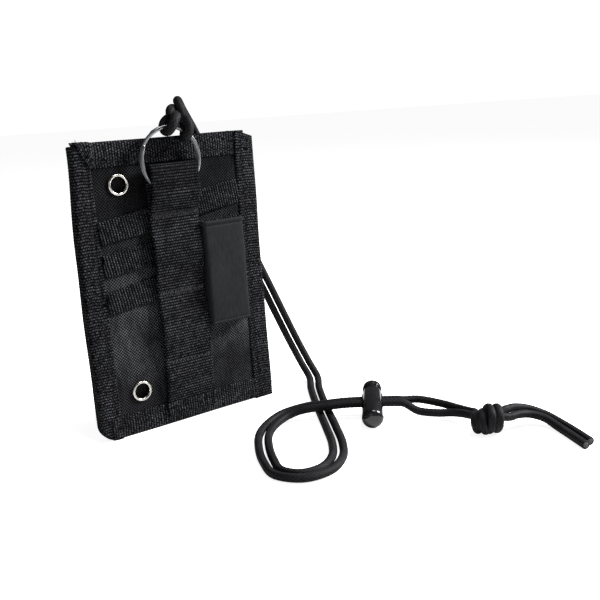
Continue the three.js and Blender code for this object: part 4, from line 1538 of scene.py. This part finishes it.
def add_window_border():
    """Ribbed tape sewn round the window's opening."""
    half, bottom, top, corner = (WINDOW[k] for k in ("half", "bottom", "top", "corner"))
    sides = BORDER["sides"]
    outline = []
    for cx, cz, first in (
        (half - corner, top - corner, 0),
        (-half + corner, top - corner, 90),
        (-half + corner, bottom + corner, 180),
        (half - corner, bottom + corner, 270),
    ):
        for k in range(9):
            angle = math.radians(first + 90 * k / 8)
            outline.append((cx + corner * math.cos(angle), 0, cz + corner * math.sin(angle)))
    line = catmull_rom(outline, closed=True, spacing=0.3)
    inward = np.cross(np.gradient(line, axis=0), (0, -1.0, 0))
    inward /= np.linalg.norm(inward, axis=1)[:, None]
    gone = distance_along(line)
    section = soft_rectangle(sides, (BORDER["half_width"], BORDER["half_thick"]), (0.6, 0.7))
    cycle = gone / RIB_PITCH
    rib = np.abs(np.cos(math.pi * cycle)) ** 0.75
    y = BORDER["y"] + section[None, :, 1] * (1 + 0.22 * (rib[:, None] - 0.5))
    points = line[:, None] + inward[:, None] * section[None, :, :1] * -1.0
    points = points + np.stack([np.zeros_like(y), y, np.zeros_like(y)], axis=-1)
    points = points[:-1].reshape(-1, 3)
    rings = len(line) - 1
    border = new_object("window_border_tape", points, looped_tube_faces(rings, sides), LOOK["tape"])
    add_attribute(border, "rib", np.repeat(cycle[:-1], sides))
    add_attribute(border, "across", np.tile(3 * section[:, 0], rings))
    add_attribute(border, "strength", np.ones(rings * sides))
    settle(border, "pouch", "binding_tape")
    marks = []
    step = 9
    for k in range(0, rings - step, step):
        centre = line[k] * (1, 0, 1) + np.array((0, BORDER["stitch_y"], 0))
        marks.append((centre, line[k + 1] - line[k], np.array((0, 1.0, 0)), 1.8, 0.4, 0.34))
    sew("window_stitches", marks)


# ---- Frayed ends ----
def frays(name, roots, spread, length, count, radius=0.11):
    """Loose threads at a cut end: thin bent tubes from points along it."""
    shares = np.linspace(0, 1, 5)
    sides = 5
    points = []
    faces = []
    low, high = (np.array(v, float) for v in roots)
    for _ in range(count):
        root = low + (high - low) * RNG.uniform()
        direction = np.array(spread) + RNG.normal(0, 0.35, 3)
        direction /= np.linalg.norm(direction)
        bend = RNG.normal(0, 0.4, 3)
        reach = length * RNG.uniform(0.4, 1.0)
        line = np.array([root + direction * reach * t + bend * reach * 0.4 * t * t for t in shares])
        first, second = tube_frames(line)
        faces += capped_tube_faces(len(shares), sides, len(points))
        for k in range(len(shares)):
            for j in range(sides):
                angle = 2 * math.pi * j / sides
                size = radius * (1 - 0.12 * k)
                points.append(line[k] + (first[k] * math.cos(angle) + second[k] * math.sin(angle)) * size)
    settle(new_object(name, points, faces, LOOK["thread"]), "pouch", "thread")


def add_frays():
    frays("fray_right_tape", ((37.5, -3.1, 1.6), (46.5, -3.1, 1.6)), (0.1, -0.8, -0.35), 1.1, 26)
    frays("fray_top_left", ((-42.6, -3.3, 134.4), (-41.8, -3.4, 134.9)), (-0.2, -0.1, 1.0), 2.0, 7)


# ---- Assembly ----
add_camera()
add_studio()
add_cords(add_lock())
add_panels()
add_bindings()
add_bands()
add_strap()
add_ring_loop()
add_tacks()
add_binding_stitches()
add_pen_loop()
add_eyelets()
add_split_ring()
add_front_details()
add_frays()
finish_cad_nodes()
